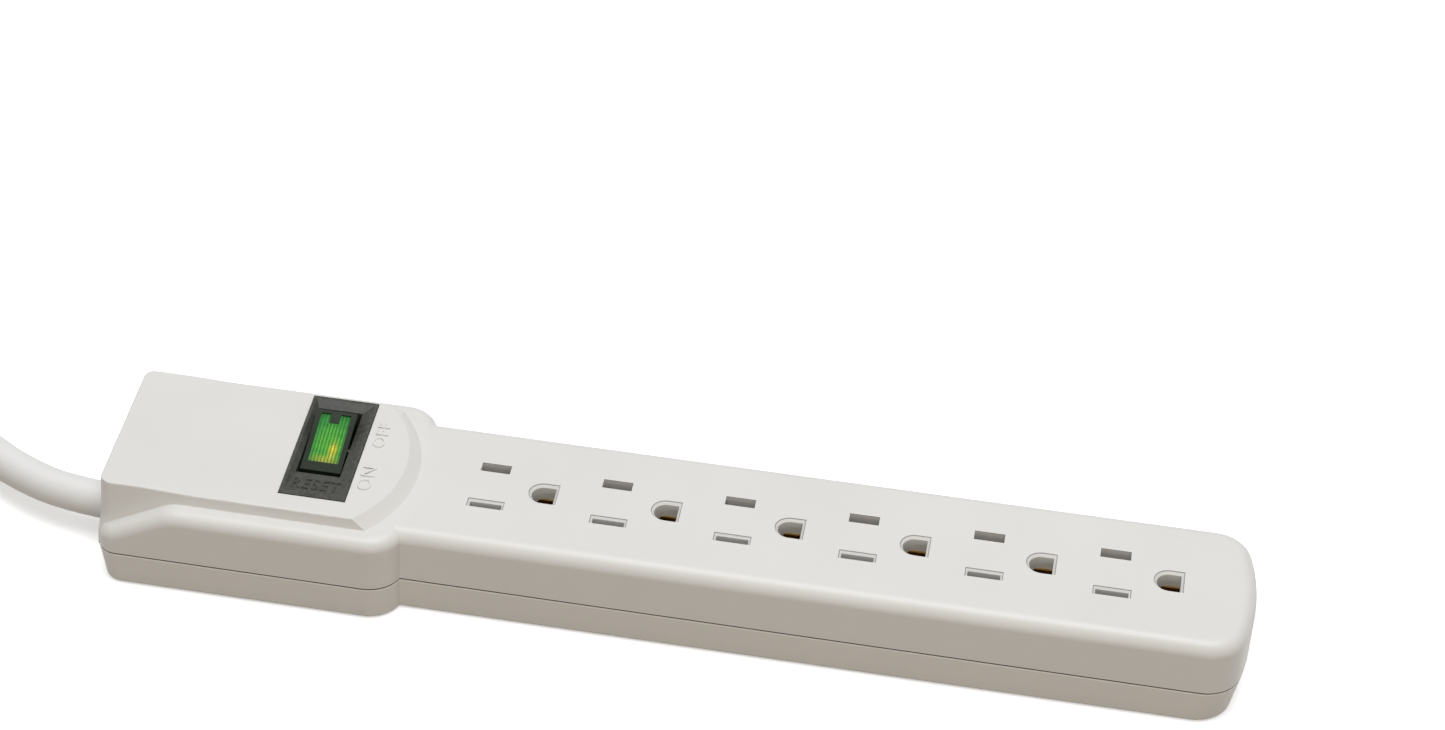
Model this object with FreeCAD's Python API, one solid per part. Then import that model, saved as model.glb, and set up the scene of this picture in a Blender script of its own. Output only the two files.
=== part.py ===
import FreeCAD
import Part
import math
import os

V = FreeCAD.Vector

# A six-outlet power strip, in millimetres.
# X runs along the strip from the cord end to the last outlet, Y points to the back,
# Z is up, and the origin is the middle of the underside.

# Overall form
body_width = 41.1
body_height = 21.6
parting_height = 8.4
wall = 2.2
body_end_bow = 60.0
body_corner = 8.5
body_top_round = 3.3
end_draft = 1.4
bottom_round = 0.9
parting_bevel = 0.3

# Switch head, wider than the outlet body
head_length = 69.8
head_width = 51.8
head_cord_corner = 4.5
head_body_corner = 8.0
shoulder_round = 3.0
shoulder_end_height = 13.2
shoulder_slope_length = 17.0
shoulder_blend = 9.0

# Raised platform on the head, with a rounded front
platform_width = 41.6
platform_rise = 2.7
platform_step = 0.5
platform_ramp = 12.0
platform_high_length = 11.0
platform_side_draft = 8.0
platform_front_setback = 3.4
platform_front_radius = 30.75
platform_front_slope = 1.02
platform_corner = 3.0
platform_edge_round = 0.5

# Outlets
outlet_count = 6
outlet_lead = 16.1
outlet_pitch = 27.94
last_outlet_inset = 31.4
blade_spacing = 12.7
ground_offset = 11.9
hot_slot_length = 6.75
neutral_slot_length = 8.4
slot_width = 2.9
neutral_bevel = 0.6
ground_flat = 3.46
ground_half_width = 3.5
ground_bevel = 0.7
outlet_skin = 2.4

# Contact strips
strip_thickness = 0.8
blade_strip_height = 10.0
blade_strip_width = 3.6
contact_top = 18.6
contact_length = 5.6
contact_gap = 1.2
contact_mouth = 2.4
ground_strip_height = 6.2
ground_strip_width = 5.0
ground_contact_gap = 4.6
ground_contact_top = 17.6

# Switch
switch_inset = 48.0
switch_y = 2.15
bezel_width = 15.2
bezel_length = 35.4
bezel_flange = 1.3
bezel_proud = 0.2
bezel_overhang = 0.7
opening_width = 10.3
opening_length = 23.3
opening_shift_x = -0.75
opening_shift_y = 3.3
bezel_funnel = 1.3
bezel_rim = 0.7
switch_joint_height = 14.4
switch_bottom = 8.6
switch_wall = 1.2
fit_gap = 0.15

# Rocker
rocker_width = 9.4
rocker_half_length = 8.95
rocker_rise = 3.7
rocker_pivot_height = 20.6
rocker_tilt = 11.3
rocker_dish = 0.35
trunnion_radius = 1.5
trunnion_gap = 0.05
lens_width = 7.0
lens_back = 8.1
lens_front = -6.2
lens_thickness = 1.0
lens_notch_width = 2.3
lens_notch_length = 2.6
lamp_radius = 1.9
lamp_length = 7.4
resistor_radius = 0.9
resistor_length = 3.4
lead_radius = 0.3
plunger_radius = 1.3
plunger_reach = 6.7
plunger_length = 3.1

# Contact arm and terminals
arm_back = 9.0
arm_front = 5.5
arm_width = 4.2
arm_thickness = 0.8
arm_height = 13.1
arm_tilt = 8.0
arm_cradle_depth = 1.2
arm_pin_radius = 0.9
contact_radius = 1.6
contact_height = 0.7
contact_air = 0.75
tab_width = 4.8
tab_thickness = 0.8
tab_bottom = 4.0
bimetal_thickness = 0.4

# Fasteners and feet of the shells
screw_radius = 1.5
screw_length = 14.0
screw_head_radius = 2.8
screw_head_height = 1.8
screw_sink = 0.8
screw_boss_radius = 3.4
boss_lap = 0.3
screw_gap = 0.05
keyhole_spacing = 178.0
keyhole_inset = 28.5
keyhole_head_radius = 4.2
keyhole_slot_width = 4.4
keyhole_slot_length = 8.0
keyhole_depth = 3.4
keyhole_skin = 1.2

# Cord
cord_radius = 4.3
cord_y = -9.0
cord_inside = 18.5
cord_hole_gap = 0.1
cord_mouth = 0.6
grommet_radius = 6.2
grommet_length = 6.5
grommet_taper = 4.0
clamp_inset = 16.0
clamp_width = 5.0
clamp_thickness = 1.6
clamp_reach = 9.5
clamp_screw_offset = 7.6
clamp_screw_radius = 1.3
clamp_head_radius = 1.9
clamp_boss_radius = 2.2
wire_radius = 1.4
wire_fan = 2.2
wire_fan_height = 7.4
hot_bend_in = 9.0
hot_dive_in = 17.0
neutral_bend_in = 10.0
neutral_lane_in = 18.0
neutral_bend_y = 15.0
neutral_lane_y = 18.5
neutral_pass = 8.0
neutral_rise = 1.0
ground_height = 11.0
ground_bend_in = 8.0
ground_dive = 10.0
ground_low = 6.4
bus_approach = 8.0
hank_fold_radius = 26.0
hank_reach = 129.0
hank_waist = 10.2
hank_loops = 2
hank_layer_gap = 0.6
hank_lift = 0.9
tie_width = 9.0
tie_thickness = 0.8
tie_gap = 0.5

# Plug
plug_width = 27.0
plug_length = 32.0
plug_depth = 25.6
plug_relief_length = 34.0
plug_blade_width = 6.35
plug_blade_thickness = 1.5
plug_blade_length = 16.0
plug_pin_radius = 2.4
plug_pin_length = 19.0
plug_blade_drop = 2.4
plug_blade_hole = 11.5
plug_floor_gap = 0.15

# Places worked out from the sizes above
strip_length = head_length + outlet_lead + outlet_pitch * (outlet_count - 1) + last_outlet_inset
x_cord_end = -strip_length / 2
x_outlet_end = strip_length / 2
x_junction = x_cord_end + head_length
half_body = body_width / 2
half_head = head_width / 2
platform_top = body_height + platform_rise
inner_top = body_height - outlet_skin
blade_y = blade_spacing / 2
last_outlet_x = x_outlet_end - last_outlet_inset
outlet_xs = [last_outlet_x - outlet_pitch * (outlet_count - 1 - i) for i in range(outlet_count)]
switch_x = x_cord_end + switch_inset
keyhole_first_x = x_cord_end + keyhole_inset
clamp_x = x_cord_end + clamp_inset
opening_x = switch_x + opening_shift_x
opening_y = switch_y + opening_shift_y
bezel_top = platform_top + bezel_proud
flange_seat = bezel_top - bezel_flange
cord_d = 2 * cord_radius


def polygon(points):
    """A face from corner points."""
    return Part.Face(Part.makePolygon(points + [points[0]]))


def block(x0, x1, y0, y1, z0, z1):
    """A box between two corners."""
    return Part.makeBox(x1 - x0, y1 - y0, z1 - z0, V(x0, y0, z0))


def rod(radius, start, end):
    """A round bar between two points."""
    along = end - start
    return Part.makeCylinder(radius, along.Length, start, along)


def side_profile(points, y0, y1):
    """An outline of (x, z) corners drawn on the XZ plane and extruded along Y."""
    return polygon([V(x, y0, z) for x, z in points]).extrude(V(0, y1 - y0, 0))


def end_profile(points, x0, x1):
    """An outline of (y, z) corners drawn on the YZ plane and extruded along X."""
    return polygon([V(x0, y, z) for y, z in points]).extrude(V(x1 - x0, 0, 0))


def rounded_rectangle(x0, x1, y0, y1, z, left, right):
    """A wire with one corner radius at its left end and another at its right end."""
    k = math.sqrt(0.5)

    def corner(cx, cy, r, sx, sy):
        a, b = V(cx + sx * r, cy, z), V(cx, cy + sy * r, z)
        middle = V(cx + sx * r * k, cy + sy * r * k, z)
        return (a, middle, b) if sx * sy > 0 else (b, middle, a)

    arcs = [corner(x1 - right, y1 - right, right, 1, 1), corner(x0 + left, y1 - left, left, -1, 1),
            corner(x0 + left, y0 + left, left, -1, -1), corner(x1 - right, y0 + right, right, 1, -1)]
    edges = []
    for i, arc in enumerate(arcs):
        edges.append(Part.Arc(*arc).toShape())
        edges.append(Part.LineSegment(arc[2], arcs[(i + 1) % 4][0]).toShape())
    return Part.Wire(edges)


def body_outline(z, inset=0.0, shorten=0.0):
    """The plan of the outlet body: straight sides, round corners and a slightly bowed end."""
    half = half_body - inset
    end = x_outlet_end - inset - shorten
    bow = body_end_bow - inset
    corner = body_corner - inset
    start = x_junction - head_body_corner
    bow_x = end - bow
    corner_y = half - corner
    corner_x = bow_x + math.sqrt((bow - corner) ** 2 - corner_y ** 2)
    turn = math.atan2(corner_y, corner_x - bow_x)
    meet = V(bow_x + bow * math.cos(turn), bow * math.sin(turn), z)
    middle_angle = (turn + math.pi / 2) / 2
    middle = V(corner_x + corner * math.cos(middle_angle), corner_y + corner * math.sin(middle_angle), z)
    side = V(corner_x, half, z)

    def mirror(p):
        return V(p.x, -p.y, p.z)

    edges = [Part.LineSegment(V(start, -half, z), mirror(side)).toShape(),
             Part.Arc(mirror(side), mirror(middle), mirror(meet)).toShape(),
             Part.Arc(mirror(meet), V(end, 0, z), meet).toShape(),
             Part.Arc(meet, middle, side).toShape(),
             Part.LineSegment(side, V(start, half, z)).toShape(),
             Part.LineSegment(V(start, half, z), V(start, -half, z)).toShape()]
    return Part.Wire(edges)


def head_outline(z, inset=0.0, shorten=0.0):
    """The plan of the switch head."""
    return rounded_rectangle(x_cord_end + inset + shorten, x_junction - inset, -half_head + inset,
                             half_head - inset, z, head_cord_corner - inset, head_body_corner - inset)


def prism(wire, height):
    """A wire filled and raised by a height."""
    return Part.Face(wire).extrude(V(0, 0, height))


def edges_on_plane(shape, z):
    """The edges that lie wholly at one height."""
    found = []
    for edge in shape.Edges:
        box = edge.BoundBox
        if abs(box.ZMin - z) < 1e-4 and abs(box.ZMax - z) < 1e-4:
            found.append(edge)
    return found


def platform_half(z):
    """Half the platform's width at a height, with its side draft."""
    return platform_width / 2 + (platform_top - z) * math.tan(math.radians(platform_side_draft))


def platform_outline(z):
    """The platform's plan at a height: straight sides, square corners and an arched front."""
    half = platform_half(z)
    front = x_junction - platform_front_setback + (platform_top - z) * platform_front_slope
    radius = platform_front_radius + (platform_top - z) * platform_front_slope
    shoulder = front - radius + math.sqrt(radius ** 2 - half ** 2)
    back = x_cord_end
    edges = [Part.LineSegment(V(back, -half, z), V(shoulder, -half, z)).toShape(),
             Part.Arc(V(shoulder, -half, z), V(front, 0, z), V(shoulder, half, z)).toShape(),
             Part.LineSegment(V(shoulder, half, z), V(back, half, z)).toShape(),
             Part.LineSegment(V(back, half, z), V(back, -half, z)).toShape()]
    return Part.Wire(edges)


def platform_solid():
    """The raised platform, higher at the cord end, with a ramp that ends in a crease."""
    low = body_height - 0.8
    high = platform_top + platform_step
    drafted = Part.makeLoft([platform_outline(low), platform_outline(high)], True, True)
    x_ramp = x_cord_end + platform_high_length
    x_crease = x_ramp + platform_ramp
    profile = side_profile([(x_cord_end - 1, low - 1), (x_junction + 5, low - 1),
                            (x_junction + 5, platform_top), (x_crease, platform_top),
                            (x_ramp, high), (x_cord_end - 1, high)], -half_head, half_head)
    solid = drafted.common(profile)
    rim = [e for e in solid.Edges if e.BoundBox.ZMin > platform_top - 1e-3
           and not (abs(e.BoundBox.XMin - x_crease) < 1e-3 and abs(e.BoundBox.XMax - x_crease) < 1e-3)
           and not (abs(e.BoundBox.XMin - x_ramp) < 1e-3 and abs(e.BoundBox.XMax - x_ramp) < 1e-3)]
    return solid.makeFillet(platform_edge_round, rim)


def cord_end_block():
    """The tall end under the platform, where the shoulders slope away."""
    top = body_height
    length = shoulder_slope_length + shoulder_blend
    wires = []
    for z in (parting_height, top):
        half = platform_half(z)
        wires.append(Part.makePolygon([V(x_cord_end, -half, z), V(x_cord_end + length, -half, z),
                                       V(x_cord_end + length, half, z), V(x_cord_end, half, z),
                                       V(x_cord_end, -half, z)]))
    return Part.makeLoft(wires, True, True)


def head_solid():
    """The head's shoulders: flat beside the switch and sloping down to the cord end."""
    prism_solid = prism(head_outline(parting_height), body_height)
    slope = (body_height - shoulder_end_height) / shoulder_slope_length
    angle = math.atan(slope)
    x_crease = x_cord_end + shoulder_slope_length
    reach = shoulder_blend * math.tan(angle / 2)
    flat_end = V(x_crease + reach, 0, body_height)
    slope_end = V(x_crease - reach * math.cos(angle), 0, body_height - reach * math.sin(angle))
    centre = V(x_crease + reach, 0, body_height - shoulder_blend)
    middle = centre + V(-math.sin(angle / 2), 0, math.cos(angle / 2)) * shoulder_blend
    x_out = x_cord_end - 5
    corners = [V(x_out, 0, shoulder_end_height - 5 * slope), V(x_out, 0, parting_height - 1),
               V(x_junction + 1, 0, parting_height - 1), V(x_junction + 1, 0, body_height)]
    edges = [Part.LineSegment(corners[0], corners[1]).toShape(),
             Part.LineSegment(corners[1], corners[2]).toShape(),
             Part.LineSegment(corners[2], corners[3]).toShape(),
             Part.LineSegment(corners[3], flat_end).toShape(),
             Part.Arc(flat_end, middle, slope_end).toShape(),
             Part.LineSegment(slope_end, corners[0]).toShape()]
    face = Part.Face(Part.Wire(edges))
    face.translate(V(0, -half_head - 1, 0))
    solid = prism_solid.common(face.extrude(V(0, head_width + 2, 0)))
    rim = [e for e in solid.Edges if e.BoundBox.ZMin > parting_height + 1 and
           not (e.BoundBox.XLength < 1e-3 and e.BoundBox.ZLength < 1e-3 and e.BoundBox.XMin > x_cord_end + 1)]
    return solid.makeFillet(shoulder_round, rim)


def body_solid():
    """The outlet body with its rounded top edge."""
    solid = prism(body_outline(parting_height), body_height - parting_height)
    start = x_junction - head_body_corner
    rim = [e for e in edges_on_plane(solid, body_height) if e.BoundBox.XMax > start + 1e-3]
    return solid.makeFillet(body_top_round, rim)


def ground_outline(z, x, shrink):
    """The D of a ground hole, flat towards the outlet end."""
    half = ground_half_width - shrink
    flat = x + ground_flat - shrink
    round_x = x + ground_flat - ground_half_width + 0.3
    edges = [Part.LineSegment(V(round_x, -half, z), V(flat, -half, z)).toShape(),
             Part.LineSegment(V(flat, -half, z), V(flat, half, z)).toShape(),
             Part.LineSegment(V(flat, half, z), V(round_x, half, z)).toShape(),
             Part.Arc(V(round_x, half, z), V(round_x - half, 0, z), V(round_x, -half, z)).toShape()]
    return Part.Wire(edges)


def slot_outline(z, x, y, length, width):
    """A blade slot's rectangle."""
    hx, hy = length / 2, width / 2
    return Part.makePolygon([V(x - hx, y - hy, z), V(x + hx, y - hy, z), V(x + hx, y + hy, z),
                             V(x - hx, y + hy, z), V(x - hx, y - hy, z)])


def outlet_cutters(x):
    """What one outlet removes: a plain hot slot, a bevelled neutral slot and a bevelled ground D."""
    top, low = body_height + 1, inner_top - 1
    hot = prism(slot_outline(low, x, blade_y, hot_slot_length, slot_width), top - low)
    narrow = slot_width - 2 * neutral_bevel
    short = neutral_slot_length - 2 * neutral_bevel
    neutral = prism(slot_outline(low, x, -blade_y, short, narrow), top - low)
    mouth = Part.makeLoft([slot_outline(body_height - neutral_bevel, x, -blade_y, short, narrow),
                           slot_outline(body_height, x, -blade_y, neutral_slot_length, slot_width)], True, True)
    gx = x + ground_offset
    ground = prism(ground_outline(low, gx, ground_bevel), top - low)
    ground_mouth = Part.makeLoft([ground_outline(body_height - ground_bevel, gx, ground_bevel),
                                  ground_outline(body_height, gx, 0)], True, True)
    return [hot, neutral, mouth, ground, ground_mouth]


def screw_places():
    """Five housing screws: two in the head, two amidships and one at the outlet end."""
    middle = (outlet_xs[1] + ground_offset + ground_half_width + outlet_xs[2] - neutral_slot_length / 2) / 2
    inward = wall + end_draft / 2 + screw_boss_radius - boss_lap
    head_y, body_y = half_head - inward, half_body - inward
    return [(x_cord_end + 25.0, head_y), (x_cord_end + 25.0, -head_y), (middle, body_y), (middle, -body_y),
            (x_outlet_end - inward - 2.4, 0)]


def rib_places():
    """Cross ribs stand between outlets, clear of the keyholes and the middle screws."""
    gap = outlet_pitch - ground_offset - ground_half_width - neutral_slot_length / 2
    offset = ground_offset + ground_half_width + gap / 2
    return [x + offset for i, x in enumerate(outlet_xs[:-1]) if i != 1]


def top_housing():
    outer = body_solid().fuse([head_solid(), platform_solid(), cord_end_block()]).removeSplitter()
    inside = [prism(body_outline(parting_height - 1, wall), inner_top - parting_height + 1)]
    x_tall = x_cord_end + shoulder_slope_length + shoulder_blend / 2
    inside.append(prism(rounded_rectangle(x_tall, x_junction - wall, -half_head + wall, half_head - wall,
                                          parting_height - 1, 1.0, head_body_corner - wall),
                        inner_top - parting_height + 1))
    inner_half = platform_width / 2 - wall
    inside.append(block(x_cord_end + wall, x_tall + 2, -inner_half, inner_half,
                        parting_height - 1, platform_top - outlet_skin))
    front = x_junction - platform_front_setback - platform_front_radius
    front += math.sqrt(platform_front_radius ** 2 - inner_half ** 2) - wall
    inside.append(block(x_tall, front, -inner_half, inner_half, parting_height - 1, platform_top - outlet_skin))
    housing = outer.cut(inside)
    added, removed = [], []
    for x, y in screw_places():
        added.append(rod(screw_boss_radius, V(x, y, parting_height), V(x, y, inner_top + 0.5)))
        tip = screw_sink + screw_head_height + screw_length
        removed.append(rod(screw_radius + screw_gap, V(x, y, parting_height - 1), V(x, y, tip + 0.6)))
    for x in rib_places():
        for side in (-1, 1):
            y0, y1 = sorted((side * (blade_y + 0.4), side * (half_body - wall + 0.3)))
            added.append(block(x - 0.8, x + 0.8, y0, y1, blade_strip_height + strip_thickness, inner_top + 0.5))
    for x in outlet_xs:
        removed += outlet_cutters(x)
    cut_x, cut_y = bezel_width / 2 + fit_gap, bezel_length / 2 + fit_gap
    removed.append(block(switch_x - cut_x, switch_x + cut_x, switch_y - cut_y, switch_y + cut_y,
                         flange_seat, bezel_top + 2))
    well_x, well_y = cut_x - bezel_overhang, cut_y - bezel_overhang
    removed.append(block(switch_x - well_x, switch_x + well_x, switch_y - well_y, switch_y + well_y,
                         parting_height, flange_seat))
    removed.append(cord_hole())
    housing = housing.fuse(added).cut(removed)
    return housing.removeSplitter()


def cord_hole():
    """The round hole that both shells share for the cord, with a pocket for the grommet's collar."""
    start = V(x_cord_end - 2, cord_y, parting_height)
    hole = rod(cord_radius + cord_hole_gap, start, V(x_cord_end + wall + 1, cord_y, parting_height))
    slope = cord_mouth / wall
    mouth = Part.makeCone(cord_radius + cord_hole_gap + cord_mouth + slope, cord_radius + cord_hole_gap,
                          wall + 1, V(x_cord_end - 1, cord_y, parting_height), V(1, 0, 0))
    collar = rod(grommet_radius + cord_hole_gap, V(x_cord_end + wall, cord_y, parting_height),
                 V(x_cord_end + wall + grommet_length, cord_y, parting_height))
    return hole.fuse([mouth, collar])


def keyhole_cutters(x):
    """A keyhole for a screw head, with a wider pocket behind its skin."""
    half = keyhole_slot_width / 2
    head = keyhole_head_radius
    hole = rod(head, V(x, 0, -1), V(x, 0, keyhole_depth))
    slot = block(x, x + keyhole_slot_length, -half, half, -1, keyhole_depth)
    end = rod(half, V(x + keyhole_slot_length, 0, -1), V(x + keyhole_slot_length, 0, keyhole_depth))
    pocket = block(x, x + keyhole_slot_length, -head, head, keyhole_skin, keyhole_depth)
    pocket_end = rod(head, V(x + keyhole_slot_length, 0, keyhole_skin),
                     V(x + keyhole_slot_length, 0, keyhole_depth))
    return [hole, slot, end, pocket, pocket_end]


def bottom_cover():
    bevel_z = parting_height - parting_bevel
    tiers = []
    for outline in (body_outline, head_outline):
        tiers.append(Part.makeLoft([outline(0, 0, end_draft), outline(bevel_z)], True, True))
    outer = tiers[0].fuse(tiers[1]).removeSplitter()
    outer = outer.makeFillet(bottom_round, edges_on_plane(outer, 0))
    rims = [Part.makeLoft([outline(bevel_z), outline(parting_height, parting_bevel)], True, True)
            for outline in (body_outline, head_outline)]
    outer = outer.fuse(rims)
    deep = parting_height - wall + 1
    cavity = prism(body_outline(wall, wall + end_draft / 2), deep).fuse(
        prism(head_outline(wall, wall + end_draft / 2), deep))
    cover = outer.cut(cavity)
    added, removed = [], []
    for x, y in screw_places():
        added.append(rod(screw_boss_radius, V(x, y, 0.5), V(x, y, parting_height)))
        removed.append(rod(screw_radius + 0.2, V(x, y, -1), V(x, y, parting_height + 1)))
        removed.append(rod(screw_head_radius + 0.2, V(x, y, -1), V(x, y, screw_sink + screw_head_height)))
    half = half_body - wall
    for x in rib_places():
        rib = block(x - 0.8, x + 0.8, -half - 0.5, half + 0.5, wall - 0.5, parting_height)
        posts = [block(x - 0.8, x + 0.8, s * (blade_y + 1.4) - 2, s * (blade_y + 1.4) + 2,
                       wall, blade_strip_height) for s in (-1, 1)]
        notch = block(x - 1, x + 1, -ground_strip_width / 2 - 0.2, ground_strip_width / 2 + 0.2,
                      ground_strip_height, parting_height + 1)
        added.append(rib.fuse(posts).cut(notch))
    for x in (keyhole_first_x, keyhole_first_x + keyhole_spacing):
        pad = keyhole_head_radius + 1.2
        added.append(block(x - pad, x + keyhole_slot_length + pad, -pad, pad, wall - 0.5, keyhole_depth + 1.2))
        removed += keyhole_cutters(x)
    for offset in (-clamp_screw_offset, clamp_screw_offset):
        y = cord_y + offset
        added.append(rod(clamp_boss_radius, V(clamp_x, y, wall - 0.5), V(clamp_x, y, parting_height)))
        removed.append(rod(clamp_screw_radius, V(clamp_x, y, wall + 0.6), V(clamp_x, y, parting_height + 1)))
    saddle = block(clamp_x - 1, clamp_x + 1, cord_y - 6, cord_y + 6, wall - 0.5, parting_height - 1)
    added.append(saddle)
    removed.append(rod(cord_radius + cord_hole_gap, V(clamp_x - 4, cord_y, parting_height),
                       V(clamp_x + 4, cord_y, parting_height)))
    collar_pad = block(x_cord_end + wall, x_cord_end + wall + grommet_length - 1, cord_y - grommet_radius - 1,
                       cord_y + grommet_radius + 1, wall - 0.5, parting_height)
    added.append(collar_pad)
    removed.append(cord_hole())
    return cover.fuse(added).cut(removed).removeSplitter()


def housing_screws():
    """Pan-head screws, up from the underside."""
    screws = []
    for x, y in screw_places():
        seat = screw_sink + screw_head_height
        head = rod(screw_head_radius, V(x, y, screw_sink), V(x, y, seat))
        head = head.makeChamfer(0.6, edges_on_plane(head, screw_sink))
        slot = block(x - screw_head_radius, x + screw_head_radius, y - 0.4, y + 0.4, 0, screw_sink + 0.9)
        cross = block(x - 0.4, x + 0.4, y - screw_head_radius, y + screw_head_radius, 0, screw_sink + 0.9)
        recess = slot.fuse(cross).common(rod(1.6, V(x, y, 0), V(x, y, seat)))
        shank = rod(screw_radius, V(x, y, seat - 0.2), V(x, y, seat + screw_length - 1.5))
        tip = Part.makeCone(screw_radius, 0.4, 1.5, V(x, y, seat + screw_length - 1.5))
        screws.append(head.fuse([shank, tip]).cut(recess).removeSplitter())
    return screws


def cord_clamp():
    """A bar over the cord with a hollow that grips the jacket."""
    x0, x1 = clamp_x - clamp_width / 2, clamp_x + clamp_width / 2
    foot = block(x0, x1, cord_y - clamp_reach, cord_y + clamp_reach, parting_height,
                 parting_height + clamp_thickness)
    outside = cord_radius + clamp_thickness
    hump = rod(outside, V(x0, cord_y, parting_height), V(x1, cord_y, parting_height))
    hump = hump.common(block(x0, x1, cord_y - outside, cord_y + outside, parting_height, body_height))
    bar = foot.fuse(hump).removeSplitter()
    bar = bar.cut(rod(cord_radius + cord_hole_gap, V(x0 - 1, cord_y, parting_height),
                      V(x1 + 1, cord_y, parting_height)))
    for offset in (-clamp_screw_offset, clamp_screw_offset):
        y = cord_y + offset
        bar = bar.cut(rod(clamp_screw_radius + 0.1, V(clamp_x, y, 0), V(clamp_x, y, 30)))
    return bar


def clamp_screws():
    screws = []
    top = parting_height + clamp_thickness
    for offset in (-clamp_screw_offset, clamp_screw_offset):
        y = cord_y + offset
        head = rod(clamp_head_radius, V(clamp_x, y, top), V(clamp_x, y, top + 1.5))
        head = head.makeChamfer(0.5, edges_on_plane(head, top + 1.5))
        shank = rod(clamp_screw_radius - screw_gap, V(clamp_x, y, wall + 0.8), V(clamp_x, y, top + 0.2))
        screws.append(head.fuse(shank).removeSplitter())
    return screws


def cord_grommet():
    """The collar round the cord just inside the end wall, tapering inward."""
    x0 = x_cord_end + wall
    collar = rod(grommet_radius, V(x0, cord_y, parting_height), V(x0 + grommet_length, cord_y, parting_height))
    taper = Part.makeCone(grommet_radius - 0.6, cord_radius + 0.5, grommet_taper,
                          V(x0 + grommet_length, cord_y, parting_height), V(1, 0, 0))
    bore = rod(cord_radius + cord_hole_gap, V(x0 - 1, cord_y, parting_height), V(x0 + 30, cord_y, parting_height))
    return collar.fuse(taper).removeSplitter().cut(bore)


def contact_clip(x, y, gap, mouth, top, base, length):
    """Two leaves of sheet that pinch near the top and flare open at the mouth."""
    leaves = []
    height = top - base
    for side in (-1, 1):
        wide = gap / 2 + 0.9
        path = [(wide, 0), (wide, 0.35 * height), (gap / 2, 0.72 * height), (mouth / 2, height)]
        outer = [(p + strip_thickness, q) for p, q in path]
        points = [(y + side * p, base + q) for p, q in path + outer[::-1]]
        leaves.append(end_profile(points, x - length / 2, x + length / 2))
    floor = block(x - length / 2, x + length / 2, y - gap / 2 - 0.9 - strip_thickness,
                  y + gap / 2 + 0.9 + strip_thickness, base - strip_thickness, base)
    return leaves + [floor]


def blade_bus(side):
    """A long contact strip with a clip under every blade slot."""
    base = blade_strip_height + strip_thickness
    y = side * blade_y
    y0, y1 = sorted((y + side * 0.0, y + side * blade_strip_width))
    pieces = []
    for x in outlet_xs:
        pieces += contact_clip(x, y, contact_gap, contact_mouth, contact_top, base, contact_length)
    start = outlet_xs[0] - contact_length / 2 - 8
    strip = block(start, outlet_xs[-1] + contact_length / 2, y0, y1, blade_strip_height, base)
    return strip.fuse(pieces).removeSplitter()


def ground_bus():
    base = ground_strip_height + strip_thickness
    half = ground_strip_width / 2
    pieces = []
    for x in outlet_xs:
        leaves = []
        for side in (-1, 1):
            inner = side * ground_contact_gap / 2
            y0, y1 = sorted((inner, inner + side * strip_thickness))
            leaves.append(block(x + ground_offset - 2.2, x + ground_offset + 3.0, y0, y1,
                                ground_strip_height, ground_contact_top))
        pieces += leaves
        pieces.append(block(x + ground_offset - 2.2, x + ground_offset + 3.0,
                            -ground_contact_gap / 2 - strip_thickness, ground_contact_gap / 2 + strip_thickness,
                            ground_strip_height, base))
    strip = block(outlet_xs[0] - 9, outlet_xs[-1] + ground_offset, -half, half, ground_strip_height, base)
    return strip.fuse(pieces).removeSplitter()


def switch_bezel():
    """The switch's frame: a flange with sloping inner faces over the upper half of the well."""
    fx, fy = bezel_width / 2, bezel_length / 2
    wx, wy = fx - bezel_overhang, fy - bezel_overhang
    flange = block(switch_x - fx, switch_x + fx, switch_y - fy, switch_y + fy, flange_seat, bezel_top)
    well = block(switch_x - wx, switch_x + wx, switch_y - wy, switch_y + wy, switch_joint_height, flange_seat)
    frame = flange.fuse(well)
    ox, oy = opening_width / 2, opening_length / 2
    low = bezel_top - bezel_funnel
    mouth = [V(switch_x - fx + bezel_rim, switch_y - fy + bezel_rim, bezel_top),
             V(switch_x + fx - bezel_rim, switch_y - fy + bezel_rim, bezel_top),
             V(switch_x + fx - bezel_rim, switch_y + fy - bezel_rim, bezel_top),
             V(switch_x - fx + bezel_rim, switch_y + fy - bezel_rim, bezel_top)]
    throat = [V(opening_x - ox, opening_y - oy, low), V(opening_x + ox, opening_y - oy, low),
              V(opening_x + ox, opening_y + oy, low), V(opening_x - ox, opening_y + oy, low)]
    funnel = Part.makeLoft([Part.makePolygon(throat + throat[:1]), Part.makePolygon(mouth + mouth[:1])],
                           True, True)
    hole = block(opening_x - ox, opening_x + ox, opening_y - oy, opening_y + oy, switch_joint_height - 1, low)
    frame = frame.cut([funnel, hole])
    axis_start = V(switch_x - wx - 1, opening_y, rocker_pivot_height)
    left = rod(trunnion_radius + trunnion_gap, axis_start, V(opening_x, opening_y, rocker_pivot_height))
    right = rod(trunnion_radius + trunnion_gap, V(opening_x, opening_y, rocker_pivot_height),
                V(opening_x + ox + 1.3, opening_y, rocker_pivot_height))
    return frame.cut([left, right]).removeSplitter()


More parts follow.
